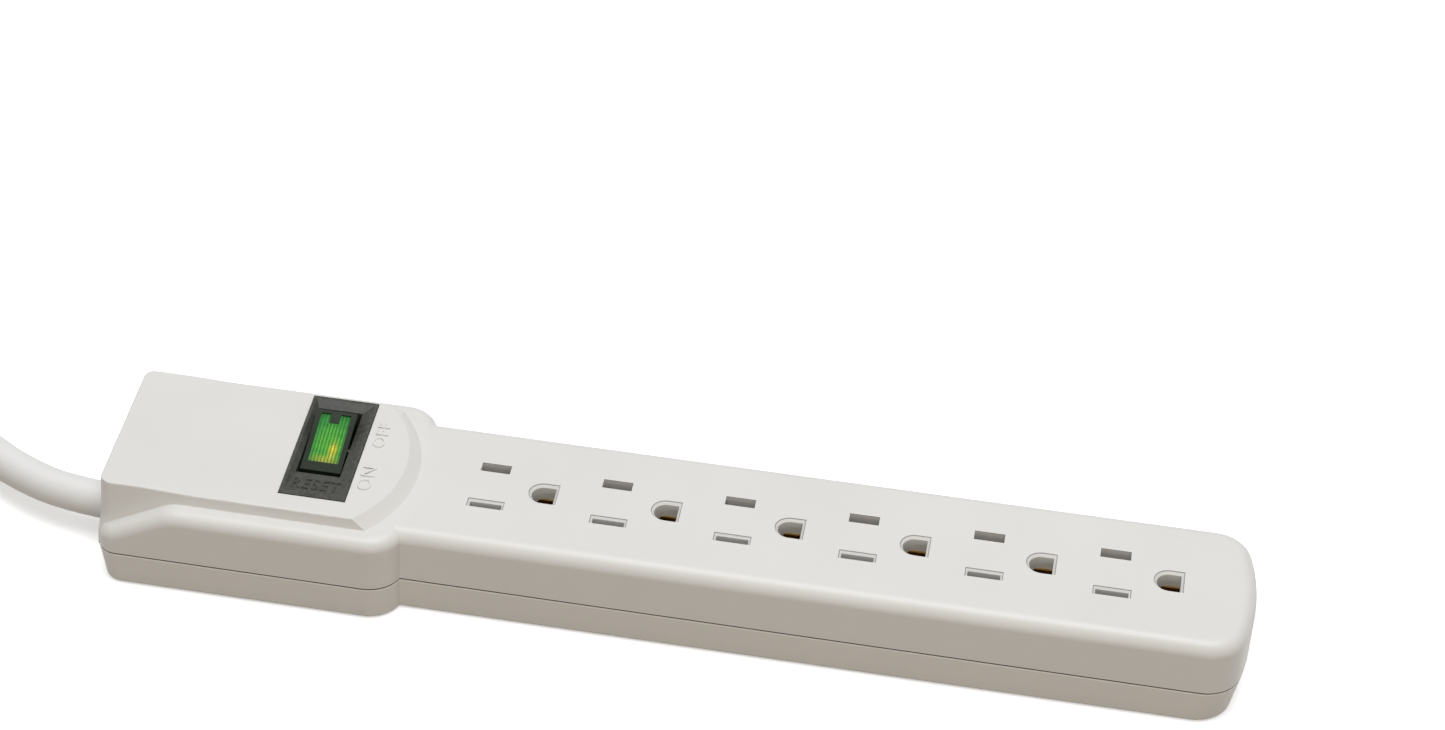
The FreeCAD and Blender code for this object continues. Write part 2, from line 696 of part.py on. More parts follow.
def switch_body():
    """The lower half of the switch, a tray that carries the terminals."""
    wx, wy = bezel_width / 2 - bezel_overhang, bezel_length / 2 - bezel_overhang
    tray = block(switch_x - wx, switch_x + wx, switch_y - wy, switch_y + wy, switch_bottom, switch_joint_height)
    tray = tray.cut(block(switch_x - wx + switch_wall, switch_x + wx - switch_wall,
                          switch_y - wy + switch_wall, switch_y + wy - switch_wall,
                          switch_bottom + switch_wall, switch_joint_height + 1))
    slots = []
    for y in (line_y, centre_y, load_y):
        slots.append(block(opening_x - tab_width / 2 - 0.05, opening_x + tab_width / 2 + 0.05,
                           y - tab_thickness / 2 - 0.05, y + tab_thickness / 2 + 0.05,
                           switch_bottom - 1, switch_bottom + switch_wall + 1))
    x = lamp_tab_x
    slots.append(block(x - 0.45, x + 0.45, opening_y - 8.0, opening_y - 5.0,
                       switch_bottom - 1, switch_bottom + switch_wall + 1))
    return tray.cut(slots)


load_y = opening_y + arm_back - 1.0
centre_y = opening_y
line_y = opening_y - 12.0
lamp_tab_x = opening_x - opening_width / 2 + 0.9
switch_floor = switch_bottom + switch_wall
arm_drop = math.sin(math.radians(arm_tilt)) * (arm_back - 1.0)
fixed_contact_top = arm_height - arm_thickness / 2 - arm_drop - contact_height - contact_air


def turned(shape, angle):
    """A copy turned about the rocker's pin."""
    copy = shape.copy()
    copy.rotate(V(opening_x, opening_y, rocker_pivot_height), V(1, 0, 0), angle)
    return copy


def rocker_point(y, z):
    """A place on the level rocker, from its pin."""
    return (opening_y + y, rocker_pivot_height + z)


def rocker():
    """The rocker on its trunnions, with round ends, a dished top and room for the lamp."""
    x0, x1 = opening_x - rocker_width / 2, opening_x + rocker_width / 2
    end_radius = math.hypot(rocker_half_length, rocker_rise)
    floor = -3.2
    low_y = math.sqrt(end_radius ** 2 - floor ** 2)

    def at(y, z):
        return V(x0, opening_y + y, rocker_pivot_height + z)

    edges = [Part.Arc(at(-rocker_half_length, rocker_rise), at(-end_radius, 0), at(-low_y, floor)).toShape(),
             Part.LineSegment(at(-low_y, floor), at(low_y, floor)).toShape(),
             Part.Arc(at(low_y, floor), at(end_radius, 0), at(rocker_half_length, rocker_rise)).toShape(),
             Part.Arc(at(rocker_half_length, rocker_rise), at(0, rocker_rise - rocker_dish),
                      at(-rocker_half_length, rocker_rise)).toShape()]
    solid = Part.Face(Part.Wire(edges)).extrude(V(rocker_width, 0, 0))
    half = lens_width / 2
    pocket = block(opening_x - half, opening_x + half, opening_y + lens_front, opening_y + lens_back,
                   rocker_pivot_height + rocker_rise - rocker_dish - lens_thickness, rocker_pivot_height + 9)
    notch = block(opening_x - lens_notch_width / 2, opening_x + lens_notch_width / 2,
                  opening_y + lens_back - lens_notch_length, opening_y + lens_back + 1,
                  rocker_pivot_height, rocker_pivot_height + 9)
    lamp_room = block(opening_x - half + 0.6, opening_x + half - 0.6, opening_y + lens_front + 0.6,
                      opening_y + lens_back - lens_notch_length - 0.3, rocker_pivot_height - 1.6,
                      rocker_pivot_height + 9)
    solid = solid.cut([pocket.cut(notch), lamp_room])
    boss = rod(plunger_radius + 1.1, V(opening_x, opening_y, rocker_pivot_height - 5.0),
               V(opening_x, opening_y, rocker_pivot_height - 3.0))
    pins = rod(trunnion_radius, V(x0 - 1.2, opening_y, rocker_pivot_height),
               V(x1 + 1.5, opening_y, rocker_pivot_height))
    pins = pins.cut(block(x0 + 1.0, x1 - 1.0, opening_y - 3, opening_y + 3, 0, 40))
    solid = solid.fuse([boss, pins])
    bore = rod(plunger_radius + trunnion_gap, V(opening_x, opening_y, 0),
               V(opening_x, opening_y, rocker_pivot_height - 2.4))
    return turned(solid.cut(bore).removeSplitter(), rocker_tilt)


def rocker_lens():
    """The green window, notched at its raised end."""
    half = lens_width / 2 - 0.02
    z0 = rocker_pivot_height + rocker_rise - rocker_dish - lens_thickness
    plate = block(opening_x - half, opening_x + half, opening_y + lens_front + 0.02, opening_y + lens_back - 0.02,
                  z0, z0 + lens_thickness)
    notch = block(opening_x - lens_notch_width / 2 - 0.02, opening_x + lens_notch_width / 2 + 0.02,
                  opening_y + lens_back - lens_notch_length - 0.02, opening_y + lens_back + 1, 0, 40)
    return turned(plate.cut(notch), rocker_tilt)


lamp_z = 0.35
lamp_front = -5.3
resistor_front = lamp_front + lamp_length + 0.6


def neon_lamp():
    """A glass capsule with a sealed nose."""
    y, z = rocker_point(lamp_front, lamp_z)
    body = rod(lamp_radius, V(opening_x, y + 1.2, z), V(opening_x, y + lamp_length - 0.6, z))
    nose = Part.makeSphere(lamp_radius - 0.02, V(opening_x, y + lamp_radius, z))
    back = Part.makeCone(lamp_radius, lamp_radius * 0.7, 0.6, V(opening_x, y + lamp_length - 0.6, z), V(0, 1, 0))
    return turned(body.fuse([nose, back]).removeSplitter(), rocker_tilt)


def lamp_resistor():
    y, z = rocker_point(resistor_front, lamp_z - 1.0)
    barrel = rod(resistor_radius, V(opening_x, y, z), V(opening_x, y + resistor_length - 1.6, z))
    return turned(barrel, rocker_tilt)


def lamp_leads():
    """Two stiff wires: one joins the lamp and the resistor, one runs back along the lamp."""
    y0, z0 = rocker_point(lamp_front + lamp_length, lamp_z)
    y1, z1 = rocker_point(resistor_front, lamp_z - 1.0)
    bridge = rod(lead_radius, V(opening_x, y0, z1), V(opening_x, y1, z1))
    _, z2 = rocker_point(0, -1.6 + lead_radius + 0.02)
    x = opening_x + lens_width / 2 - 0.6 - lead_radius - 0.05
    back = rod(lead_radius, V(x, y0 - lamp_length + 1.0, z2), V(x, y0 + 1.0, z2))
    return [turned(bridge, rocker_tilt), turned(back, rocker_tilt)]


def plunger():
    """The sprung pin under the rocker that rides on the contact arm."""
    low = rocker_pivot_height - plunger_reach
    pin = rod(plunger_radius, V(opening_x, opening_y, low + plunger_radius),
              V(opening_x, opening_y, low + plunger_length))
    tip = Part.makeSphere(plunger_radius, V(opening_x, opening_y, low + plunger_radius))
    return turned(pin.fuse(tip).removeSplitter(), rocker_tilt)


def plunger_spring():
    """The short spring above the plunger, kept as a sleeve."""
    low = rocker_pivot_height - plunger_reach + plunger_length
    high = rocker_pivot_height - 2.4
    sleeve = rod(plunger_radius - 0.1, V(opening_x, opening_y, low), V(opening_x, opening_y, high))
    hole = rod(plunger_radius - 0.6, V(opening_x, opening_y, low - 1), V(opening_x, opening_y, high + 1))
    return turned(sleeve.cut(hole), rocker_tilt)


def contact_arm():
    """The seesaw that the plunger tips, with a contact button under its far end."""
    plate = block(opening_x - arm_width / 2, opening_x + arm_width / 2, opening_y - arm_front,
                  opening_y + arm_back, arm_height - arm_thickness / 2, arm_height + arm_thickness / 2)
    button = rod(contact_radius, V(opening_x, load_y, arm_height - arm_thickness / 2 - contact_height),
                 V(opening_x, load_y, arm_height))
    cradle = block(opening_x - arm_width / 2, opening_x + arm_width / 2, opening_y - 1.5, opening_y + 1.5,
                   arm_height - arm_thickness / 2 - arm_cradle_depth, arm_height)
    arm = plate.fuse([button, cradle])
    arm = arm.cut(rod(arm_pin_radius + 0.05, V(opening_x - 9, opening_y, arm_pin_height),
                      V(opening_x + 9, opening_y, arm_pin_height)))
    arm = arm.cut(block(opening_x - 9, opening_x + 9, opening_y - arm_pin_radius - 0.05,
                        opening_y + arm_pin_radius + 0.05, 0, arm_pin_height))
    arm.rotate(V(opening_x, opening_y, arm_pin_height), V(1, 0, 0), -arm_tilt)
    return arm.removeSplitter()


arm_pin_height = arm_height - arm_thickness / 2 - 1.0


def tab(y, top):
    """A flat terminal blade that passes down through the tray's floor."""
    return block(opening_x - tab_width / 2, opening_x + tab_width / 2, y - tab_thickness / 2,
                 y + tab_thickness / 2, tab_bottom, top)


def arm_terminal():
    """The centre terminal: a post with the pin that the arm rocks on."""
    post = tab(centre_y, arm_pin_height - arm_pin_radius + 0.4)
    pin = rod(arm_pin_radius, V(opening_x - tab_width / 2, centre_y, arm_pin_height),
              V(opening_x + tab_width / 2, centre_y, arm_pin_height))
    return post.fuse(pin).removeSplitter()


def load_terminal():
    """The switched terminal with its fixed contact."""
    foot = tab(load_y, switch_floor + 0.6)
    shelf = block(opening_x - tab_width / 2, opening_x + tab_width / 2, load_y - 2.4, load_y + 2.4,
                  switch_floor, switch_floor + 0.6)
    button = rod(contact_radius, V(opening_x, load_y, switch_floor), V(opening_x, load_y, fixed_contact_top))
    return foot.fuse([shelf, button]).removeSplitter()


def line_terminal():
    """The incoming terminal, with a shelf that the bimetal strip is riveted to."""
    foot = tab(line_y, switch_floor + 0.6)
    shelf = block(opening_x - tab_width / 2, opening_x + tab_width / 2, line_y - tab_thickness / 2, line_y + 3.0,
                  switch_floor, switch_floor + 0.6)
    return foot.fuse(shelf).removeSplitter()


def bimetal_strip():
    """The breaker's strip, from the line terminal to the arm's post, slightly bowed."""
    y0, y1 = line_y + 0.6, centre_y - tab_thickness / 2
    z0 = switch_floor + 0.6
    rise = 0.4
    middle = (y0 + y1) / 2

    def at(y, z):
        return V(opening_x - tab_width / 2 + 0.4, y, z)

    edges = [Part.Arc(at(y0, z0), at(middle, z0 + rise), at(y1, z0)).toShape(),
             Part.LineSegment(at(y1, z0), at(y1, z0 + bimetal_thickness)).toShape(),
             Part.Arc(at(y1, z0 + bimetal_thickness), at(middle, z0 + rise + bimetal_thickness),
                      at(y0, z0 + bimetal_thickness)).toShape(),
             Part.LineSegment(at(y0, z0 + bimetal_thickness), at(y0, z0)).toShape()]
    return Part.Face(Part.Wire(edges)).extrude(V(tab_width - 0.8, 0, 0))


def lamp_terminal():
    """The neutral tab for the lamp, beside the rocker."""
    return block(lamp_tab_x - 0.4, lamp_tab_x + 0.4, opening_y - 7.95, opening_y - 5.05,
                 tab_bottom, switch_joint_height - 0.4)


def rounded_path(points, label):
    """Straight runs joined by the largest tangent arcs that the runs allow."""
    edges, radii = [], []
    start = points[0]
    for i in range(1, len(points) - 1):
        before, after = points[i] - points[i - 1], points[i + 1] - points[i]
        turn = before.getAngle(after)
        reach = 0.45 * min(before.Length, after.Length)
        radii.append(reach / math.tan(turn / 2))
        a = points[i] - before.normalize() * reach
        b = points[i] + after.normalize() * reach
        edges.append(Part.LineSegment(start, a).toShape())
        edges.append(arc_from_tangent(a, before, b))
        start = b
    edges.append(Part.LineSegment(start, points[-1]).toShape())
    print(label, "arc radii", [round(r, 1) for r in radii])
    return Part.Wire(edges)


def arc_from_tangent(start, tangent, end):
    """The arc that leaves start along a unit tangent and reaches end."""
    chord = end - start
    turn = tangent.getAngle(chord)
    side = tangent - chord * (tangent.dot(chord) / chord.dot(chord))
    side.normalize()
    middle = (start + end) * 0.5 + side * (chord.Length / 2 * math.tan(turn / 2))
    return Part.Arc(start, middle, end).toShape()


def biarc(p0, t0, p1, t1):
    """Two tangent arcs from one place and heading to another."""
    v = p1 - p0
    along = v.dot(t0 + t1)
    spread = 2 * (1 - t0.dot(t1))
    if spread < 1e-9:
        d = v.dot(v) / (2 * along)
    else:
        d = (-along + math.sqrt(along ** 2 + spread * v.dot(v))) / spread
    joint = (p0 + p1) * 0.5 + (t0 - t1) * (d / 2)
    first = arc_from_tangent(p0, t0, joint)
    second = arc_from_tangent(p1, t1 * -1, joint)
    second.reverse()
    return [first, second]


def swept(path, radius, label):
    """A round tube along a path, with its volume checked against section times length."""
    edge = path.Edges[0]
    start = edge.valueAt(edge.FirstParameter)
    heading = edge.tangentAt(edge.FirstParameter)
    section = Part.Wire(Part.Circle(start, heading, radius).toShape())
    solid = path.makePipeShell([section], True, False)
    ideal = math.pi * radius ** 2 * path.Length
    print(label, "length %.1f mm, volume against section times length %.4f" % (path.Length, solid.Volume / ideal))
    return solid


def wire_run(points, label):
    """One insulated conductor inside the head."""
    return swept(rounded_path([V(*p) for p in points], label), wire_radius, label)


floor_z = cord_radius + 0.05
hank_base = floor_z + hank_lift
hank_climb = cord_d + hank_layer_gap
cord_route = [V(x_cord_end + cord_inside, cord_y, parting_height),
              V(x_cord_end - 5.5, cord_y, parting_height),
              V(x_cord_end - 28.1, -0.8, 7.4),
              V(x_cord_end - 45.5, 14.5, 6.0),
              V(x_cord_end - 64.0, 21.4, hank_base),
              V(x_cord_end - 83.0, 21.4, hank_base)]
tail_drop = hank_base + hank_loops * hank_climb - plug_depth / 2 - plug_floor_gap
tail_shift = 8.4
tail_steps = [V(0, 0, 0), V(-19.0, 0, 0), V(-56.0, -tail_shift, -tail_drop), V(-75.5, -tail_shift, -tail_drop)]


def power_cord():
    return swept(rounded_path(cord_route, "power_cord"), cord_radius, "power_cord")


def hank_knots():
    """Places and headings round the hank: each loop is two folds and two runs drawn in at the waist."""
    entry = cord_route[-1] + V(-cord_d, 0, 0)
    x_right, y_mid = entry.x, entry.y - hank_fold_radius
    x_left = x_right - hank_reach
    x_waist = (x_right + x_left) / 2
    half = hank_waist / 2
    out, back = V(-1, 0, 0), V(1, 0, 0)
    rising = V(hank_reach, 0, hank_climb * 1.5).normalize()
    knots = [(V(x_right, y_mid + hank_fold_radius, hank_base), out)]
    z = hank_base
    for loop in range(hank_loops + 1):
        knots.append((V(x_waist, y_mid + half, z), out))
        knots.append((V(x_left, y_mid + hank_fold_radius, z), out))
        if loop < hank_loops:
            knots.append((V(x_left, y_mid - hank_fold_radius, z), back))
            knots.append((V(x_waist, y_mid - half, z + hank_climb / 2), rising))
            z += hank_climb
            knots.append((V(x_right, y_mid - hank_fold_radius, z), back))
            knots.append((V(x_right, y_mid + hank_fold_radius, z), out))
    return knots


def cord_hank():
    """The put-away cord: one unbroken tube that climbs along the near run, straight at both ends."""
    knots = hank_knots()
    edges = [Part.LineSegment(cord_route[-1], knots[0][0]).toShape()]
    for (p0, t0), (p1, t1) in zip(knots, knots[1:]):
        edges += biarc(p0, t0, p1, t1)
    last, heading = knots[-1]
    edges.append(Part.LineSegment(last, last + heading * cord_d).toShape())
    path = Part.Wire(edges)
    print("cord_hank least gap to itself %.2f mm" % least_gap(path))
    print("cord_hank arc radii", sorted({round(e.Curve.Radius, 1) for e in edges if hasattr(e.Curve, "Radius")}))
    return swept(path, cord_radius, "cord_hank")


def least_gap(path):
    """The least air between two stretches of one tube, measured on points along its centre."""
    spacing = 2.0
    points = path.discretize(Distance=spacing)
    skip = int(3 * cord_d / spacing)
    least = path.Length
    for i, p in enumerate(points):
        for q in points[i + skip:]:
            least = min(least, (p - q).Length)
    return least - cord_d


def hank_tie():
    """The strap round every strand at the hank's waist."""
    (right, _), (waist, _) = hank_knots()[:2]
    y_mid = right.y - hank_fold_radius
    z0 = hank_base - cord_radius
    z1 = z0 + cord_d + hank_loops * hank_climb
    rings = []
    for grow in (tie_thickness, 0):
        half = hank_waist / 2 + cord_radius + tie_gap + grow
        low, high = z0 - 0.05 - grow, z1 + tie_gap + grow
        corner = cord_radius + grow
        wire = rounded_rectangle(low, high, y_mid - half, y_mid + half, 0, corner, corner)
        ring = Part.Face(wire).extrude(V(0, 0, tie_width))
        ring.rotate(V(0, 0, 0), V(0, 1, 0), -90)
        ring.translate(V(waist.x + tie_width / 2, 0, 0))
        rings.append(ring)
    return rings[0].cut(rings[1])


def tail_route():
    """The short free stretch from the hank's end down to the plug."""
    place, heading = hank_knots()[-1]
    return [place + heading * cord_d + step for step in tail_steps]


def cord_tail():
    return swept(rounded_path(tail_route(), "cord_tail"), cord_radius, "cord_tail")


def plug_body():
    """A moulded plug: a round strain relief with grip rings, swelling into a rounded block."""
    start = tail_route()[-1]
    relief = Part.makeCone(cord_radius + 1.4, cord_radius + 4.2, plug_relief_length, start, V(-1, 0, 0))
    grooves = []
    for i in range(4):
        x = start.x - 5.0 - i * 5.5
        ring = rod(plug_width / 2, V(x - 1.0, start.y, start.z), V(x + 1.0, start.y, start.z))
        grooves.append(ring.cut(rod(cord_radius + 1.2 + i * 0.45, V(x - 2, start.y, start.z), V(x + 2, start.y, start.z))))
    relief = relief.cut(grooves)
    sections = []
    for along, share, corner in ((plug_relief_length - 7.0, 0.55, 5.0), (plug_relief_length, 0.84, 6.0),
                                 (plug_relief_length + plug_length * 0.45, 1.0, 6.0),
                                 (plug_relief_length + plug_length, 0.97, 6.0)):
        hz, hy = plug_depth / 2 * share, plug_width / 2 * share
        wire = rounded_rectangle(-hz, hz, -hy, hy, 0, corner * share, corner * share)
        wire.rotate(V(0, 0, 0), V(0, 1, 0), -90)
        wire.translate(V(start.x - along, start.y, start.z))
        sections.append(wire)
    grip = Part.makeLoft(sections, True, True)
    return relief.fuse(grip).removeSplitter()


def plug_face():
    return tail_route()[-1] + V(-plug_relief_length - plug_length, 0, 0)


def plug_blades():
    face = plug_face()
    z = face.z - plug_blade_drop
    x_tip = face.x - plug_blade_length
    blades = []
    for side in (-1, 1):
        y = face.y + side * blade_spacing / 2
        blade = block(x_tip, face.x, y - plug_blade_thickness / 2, y + plug_blade_thickness / 2,
                      z - plug_blade_width / 2, z + plug_blade_width / 2)
        tip = [e for e in blade.Edges if abs(e.BoundBox.XMax - x_tip) < 1e-3 and e.BoundBox.ZLength > 1]
        blade = blade.makeChamfer(0.5, tip)
        hole_x = face.x - plug_blade_hole
        blades.append(blade.cut(rod(1.5, V(hole_x, y - 3, z), V(hole_x, y + 3, z))))
    return blades


def plug_ground_pin():
    """The round-nosed ground pin, flat on its outer side."""
    face = plug_face()
    z = face.z - plug_blade_drop + ground_offset
    nose = V(face.x - plug_pin_length + plug_pin_radius, face.y, z)
    pin = rod(plug_pin_radius, V(face.x, face.y, z), nose)
    tip = Part.makeCone(plug_pin_radius, plug_pin_radius * 0.4, plug_pin_radius, nose, V(-1, 0, 0))
    pin = pin.fuse(tip).removeSplitter()
    flat_y = plug_pin_radius + 1
    return pin.cut(block(face.x - plug_pin_length - 1, face.x + 1, face.y - flat_y, face.y + flat_y,
                         z + plug_pin_radius * 0.8, z + plug_pin_radius + 1))


wire_start_x = x_cord_end + cord_inside + 0.6
bus_end_x = outlet_xs[0] - contact_length / 2 - 4
bus_wire_z = blade_strip_height + strip_thickness + wire_radius
bus_wire_y = blade_y + blade_strip_width / 2
tab_wire_z = tab_bottom + 1.6


def hot_wire():
    """From the cord to the line tab."""
    return wire_run([(wire_start_x, cord_y + wire_fan, wire_fan_height),
                     (wire_start_x + hot_bend_in, cord_y + wire_fan + 0.8, wire_fan_height - 0.4),
                     (wire_start_x + hot_dive_in, line_y - 0.4, tab_wire_z + 0.2),
                     (opening_x - tab_width / 2 - 0.4, line_y, tab_wire_z)], "hot_wire")


def neutral_wire():
    """From the cord, round the near side of the switch, to the neutral strip."""
    height = wire_fan_height
    return wire_run([(wire_start_x, cord_y - wire_fan, height),
                     (wire_start_x + neutral_bend_in, -neutral_bend_y, height + 0.6 * neutral_rise),
                     (wire_start_x + neutral_lane_in, -neutral_lane_y, height + 1.8 * neutral_rise),
                     (switch_x + neutral_pass, -neutral_lane_y, height + 2.6 * neutral_rise),
                     (bus_end_x - 1.9 * bus_approach, -neutral_bend_y + 2 * neutral_rise, bus_wire_z - 0.8),
                     (bus_end_x - bus_approach, -bus_wire_y - 1.5, bus_wire_z),
                     (bus_end_x, -bus_wire_y, bus_wire_z)], "neutral_wire")


def ground_wire():
    """From the cord, under the switch's tray, to the ground strip."""
    end_z = ground_strip_height + strip_thickness + wire_radius
    return wire_run([(wire_start_x, cord_y, ground_height),
                     (wire_start_x + ground_bend_in, cord_y + 1.5, ground_height - 0.1),
                     (opening_x - ground_dive, opening_y - 3.4, ground_low + 0.1),
                     (opening_x + ground_dive, opening_y - 2.7, ground_low - 0.1),
                     (bus_end_x - 1.4 * bus_approach, 1.2, end_z + 0.2),
                     (bus_end_x + 1, 0, end_z)], "ground_wire")


def switched_wire():
    """From the switch's load tab to the hot strip."""
    return wire_run([(opening_x + tab_width / 2 + 0.3, load_y, tab_wire_z),
                     (opening_x + neutral_pass + 0.5, load_y - 0.6, tab_wire_z),
                     (opening_x + 1.5 * ground_dive, load_y - 3.5, bus_wire_z - 3.2),
                     (bus_end_x - 0.9 * bus_approach, bus_wire_y + 0.5, bus_wire_z),
                     (bus_end_x, bus_wire_y, bus_wire_z)], "switched_wire")


nodes = {
    "top_housing": top_housing,
    "bottom_cover": bottom_cover,
    "housing_screws": housing_screws,
    "switch_bezel": switch_bezel,
    "switch_body": switch_body,
    "rocker": rocker,
    "rocker_lens": rocker_lens,
    "neon_lamp": neon_lamp,
    "lamp_resistor": lamp_resistor,
    "lamp_leads": lamp_leads,
    "plunger": plunger,
    "plunger_spring": plunger_spring,
    "contact_arm": contact_arm,
    "arm_terminal": arm_terminal,
    "bimetal_strip": bimetal_strip,
    "line_terminal": line_terminal,
    "load_terminal": load_terminal,
    "lamp_terminal": lamp_terminal,
    "hot_bus": lambda: blade_bus(1),
    "neutral_bus": lambda: blade_bus(-1),
    "ground_bus": ground_bus,
    "cord_clamp": cord_clamp,
    "clamp_screws": clamp_screws,
    "cord_grommet": cord_grommet,
    "hot_wire": hot_wire,
    "neutral_wire": neutral_wire,
    "ground_wire": ground_wire,
    "switched_wire": switched_wire,
    "power_cord": power_cord,
    "cord_hank": cord_hank,
    "cord_tail": cord_tail,
    "hank_tie": hank_tie,
    "plug_body": plug_body,
    "plug_blades": plug_blades,
    "plug_ground_pin": plug_ground_pin,
}

os.makedirs("parts", exist_ok=True)
for name, make in nodes.items():
    shape = make()
    solids = shape if isinstance(shape, list) else shape.Solids
    for solid in solids:
        if not solid.isValid():
            print(name, "is not valid")
    shape = solids[0] if len(solids) == 1 else Part.makeCompound(solids)
    box = shape.BoundBox
    print("%-16s solids %d volume %9.1f  x %.1f..%.1f y %.1f..%.1f z %.1f..%.1f" % (
        name, len(solids), shape.Volume, box.XMin, box.XMax, box.YMin, box.YMax, box.ZMin, box.ZMax))
    shape.exportStep("parts/" + name + ".step")
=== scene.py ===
"""Looks of a six-outlet power strip: its mouldings, lit rocker, raised words and put-away cord."""

import logging
import math
from dataclasses import dataclass, field
from enum import Enum
from typing import Sequence

import bmesh
import bpy
from mathutils import Matrix, Vector


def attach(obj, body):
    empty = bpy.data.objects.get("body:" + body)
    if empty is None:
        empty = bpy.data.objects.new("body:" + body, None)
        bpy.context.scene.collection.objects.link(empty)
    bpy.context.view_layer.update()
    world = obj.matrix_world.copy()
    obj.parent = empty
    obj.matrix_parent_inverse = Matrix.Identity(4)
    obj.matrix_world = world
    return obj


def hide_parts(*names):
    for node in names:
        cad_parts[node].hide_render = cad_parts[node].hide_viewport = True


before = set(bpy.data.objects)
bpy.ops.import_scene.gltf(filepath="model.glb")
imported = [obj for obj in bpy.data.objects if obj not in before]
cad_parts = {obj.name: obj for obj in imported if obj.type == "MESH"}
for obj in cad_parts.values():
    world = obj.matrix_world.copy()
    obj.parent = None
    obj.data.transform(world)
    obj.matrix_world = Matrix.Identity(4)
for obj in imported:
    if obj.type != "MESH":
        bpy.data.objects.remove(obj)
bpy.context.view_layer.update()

LOG = logging.getLogger("power_strip")
MM = 0.001
MERGE = 0.000002
Colour = tuple[float, float, float]

# The dark joint of the two shells, and a painted highlight on the lip of the lower shell just under it,
# which stands in for the light on that edge.
SEAM_HEIGHT = 0.0084
SEAM_HALF_WIDTH = 0.0002
SEAM_COLOUR = (0.06, 0.05, 0.04)
LIP_HIGHLIGHT_DROP = 0.00036
LIP_HIGHLIGHT_HALF_WIDTH = 0.00013
LIP_HIGHLIGHT_COLOUR = (0.95, 0.93, 0.88)

# Painted shade: a thin grey line round the bevelled mouths of the outlets' slots and ground holes, which
# stands in for the shade on the bevels' edges.
MOUTH_SHADE_HEIGHT = 0.0215
MOUTH_SHADE_HALF_WIDTH = 0.00008
MOUTH_SHADE_MIDDLE = (0.035, 0.0)
MOUTH_SHADE_REACH = (0.088, 0.0105)
MOUTH_SHADE_COLOUR = (0.3, 0.29, 0.28)


def channel(value: float) -> float:
    """Turn one display value into linear light.

    Args:
        value: The value, from 0 to 255.

    Returns:
        Its share of full linear light.
    """
    share = value / 255.0
    return share / 12.92 if share <= 0.04045 else ((share + 0.055) / 1.055) ** 2.4


def linear(red: float, green: float, blue: float) -> Colour:
    """Turn display values from 0 to 255 into a colour in linear light."""
    return (channel(red), channel(green), channel(blue))


class Body(Enum):
    """The bodies that pieces ride on."""

    HOUSING = "housing"
    ROCKER = "rocker"


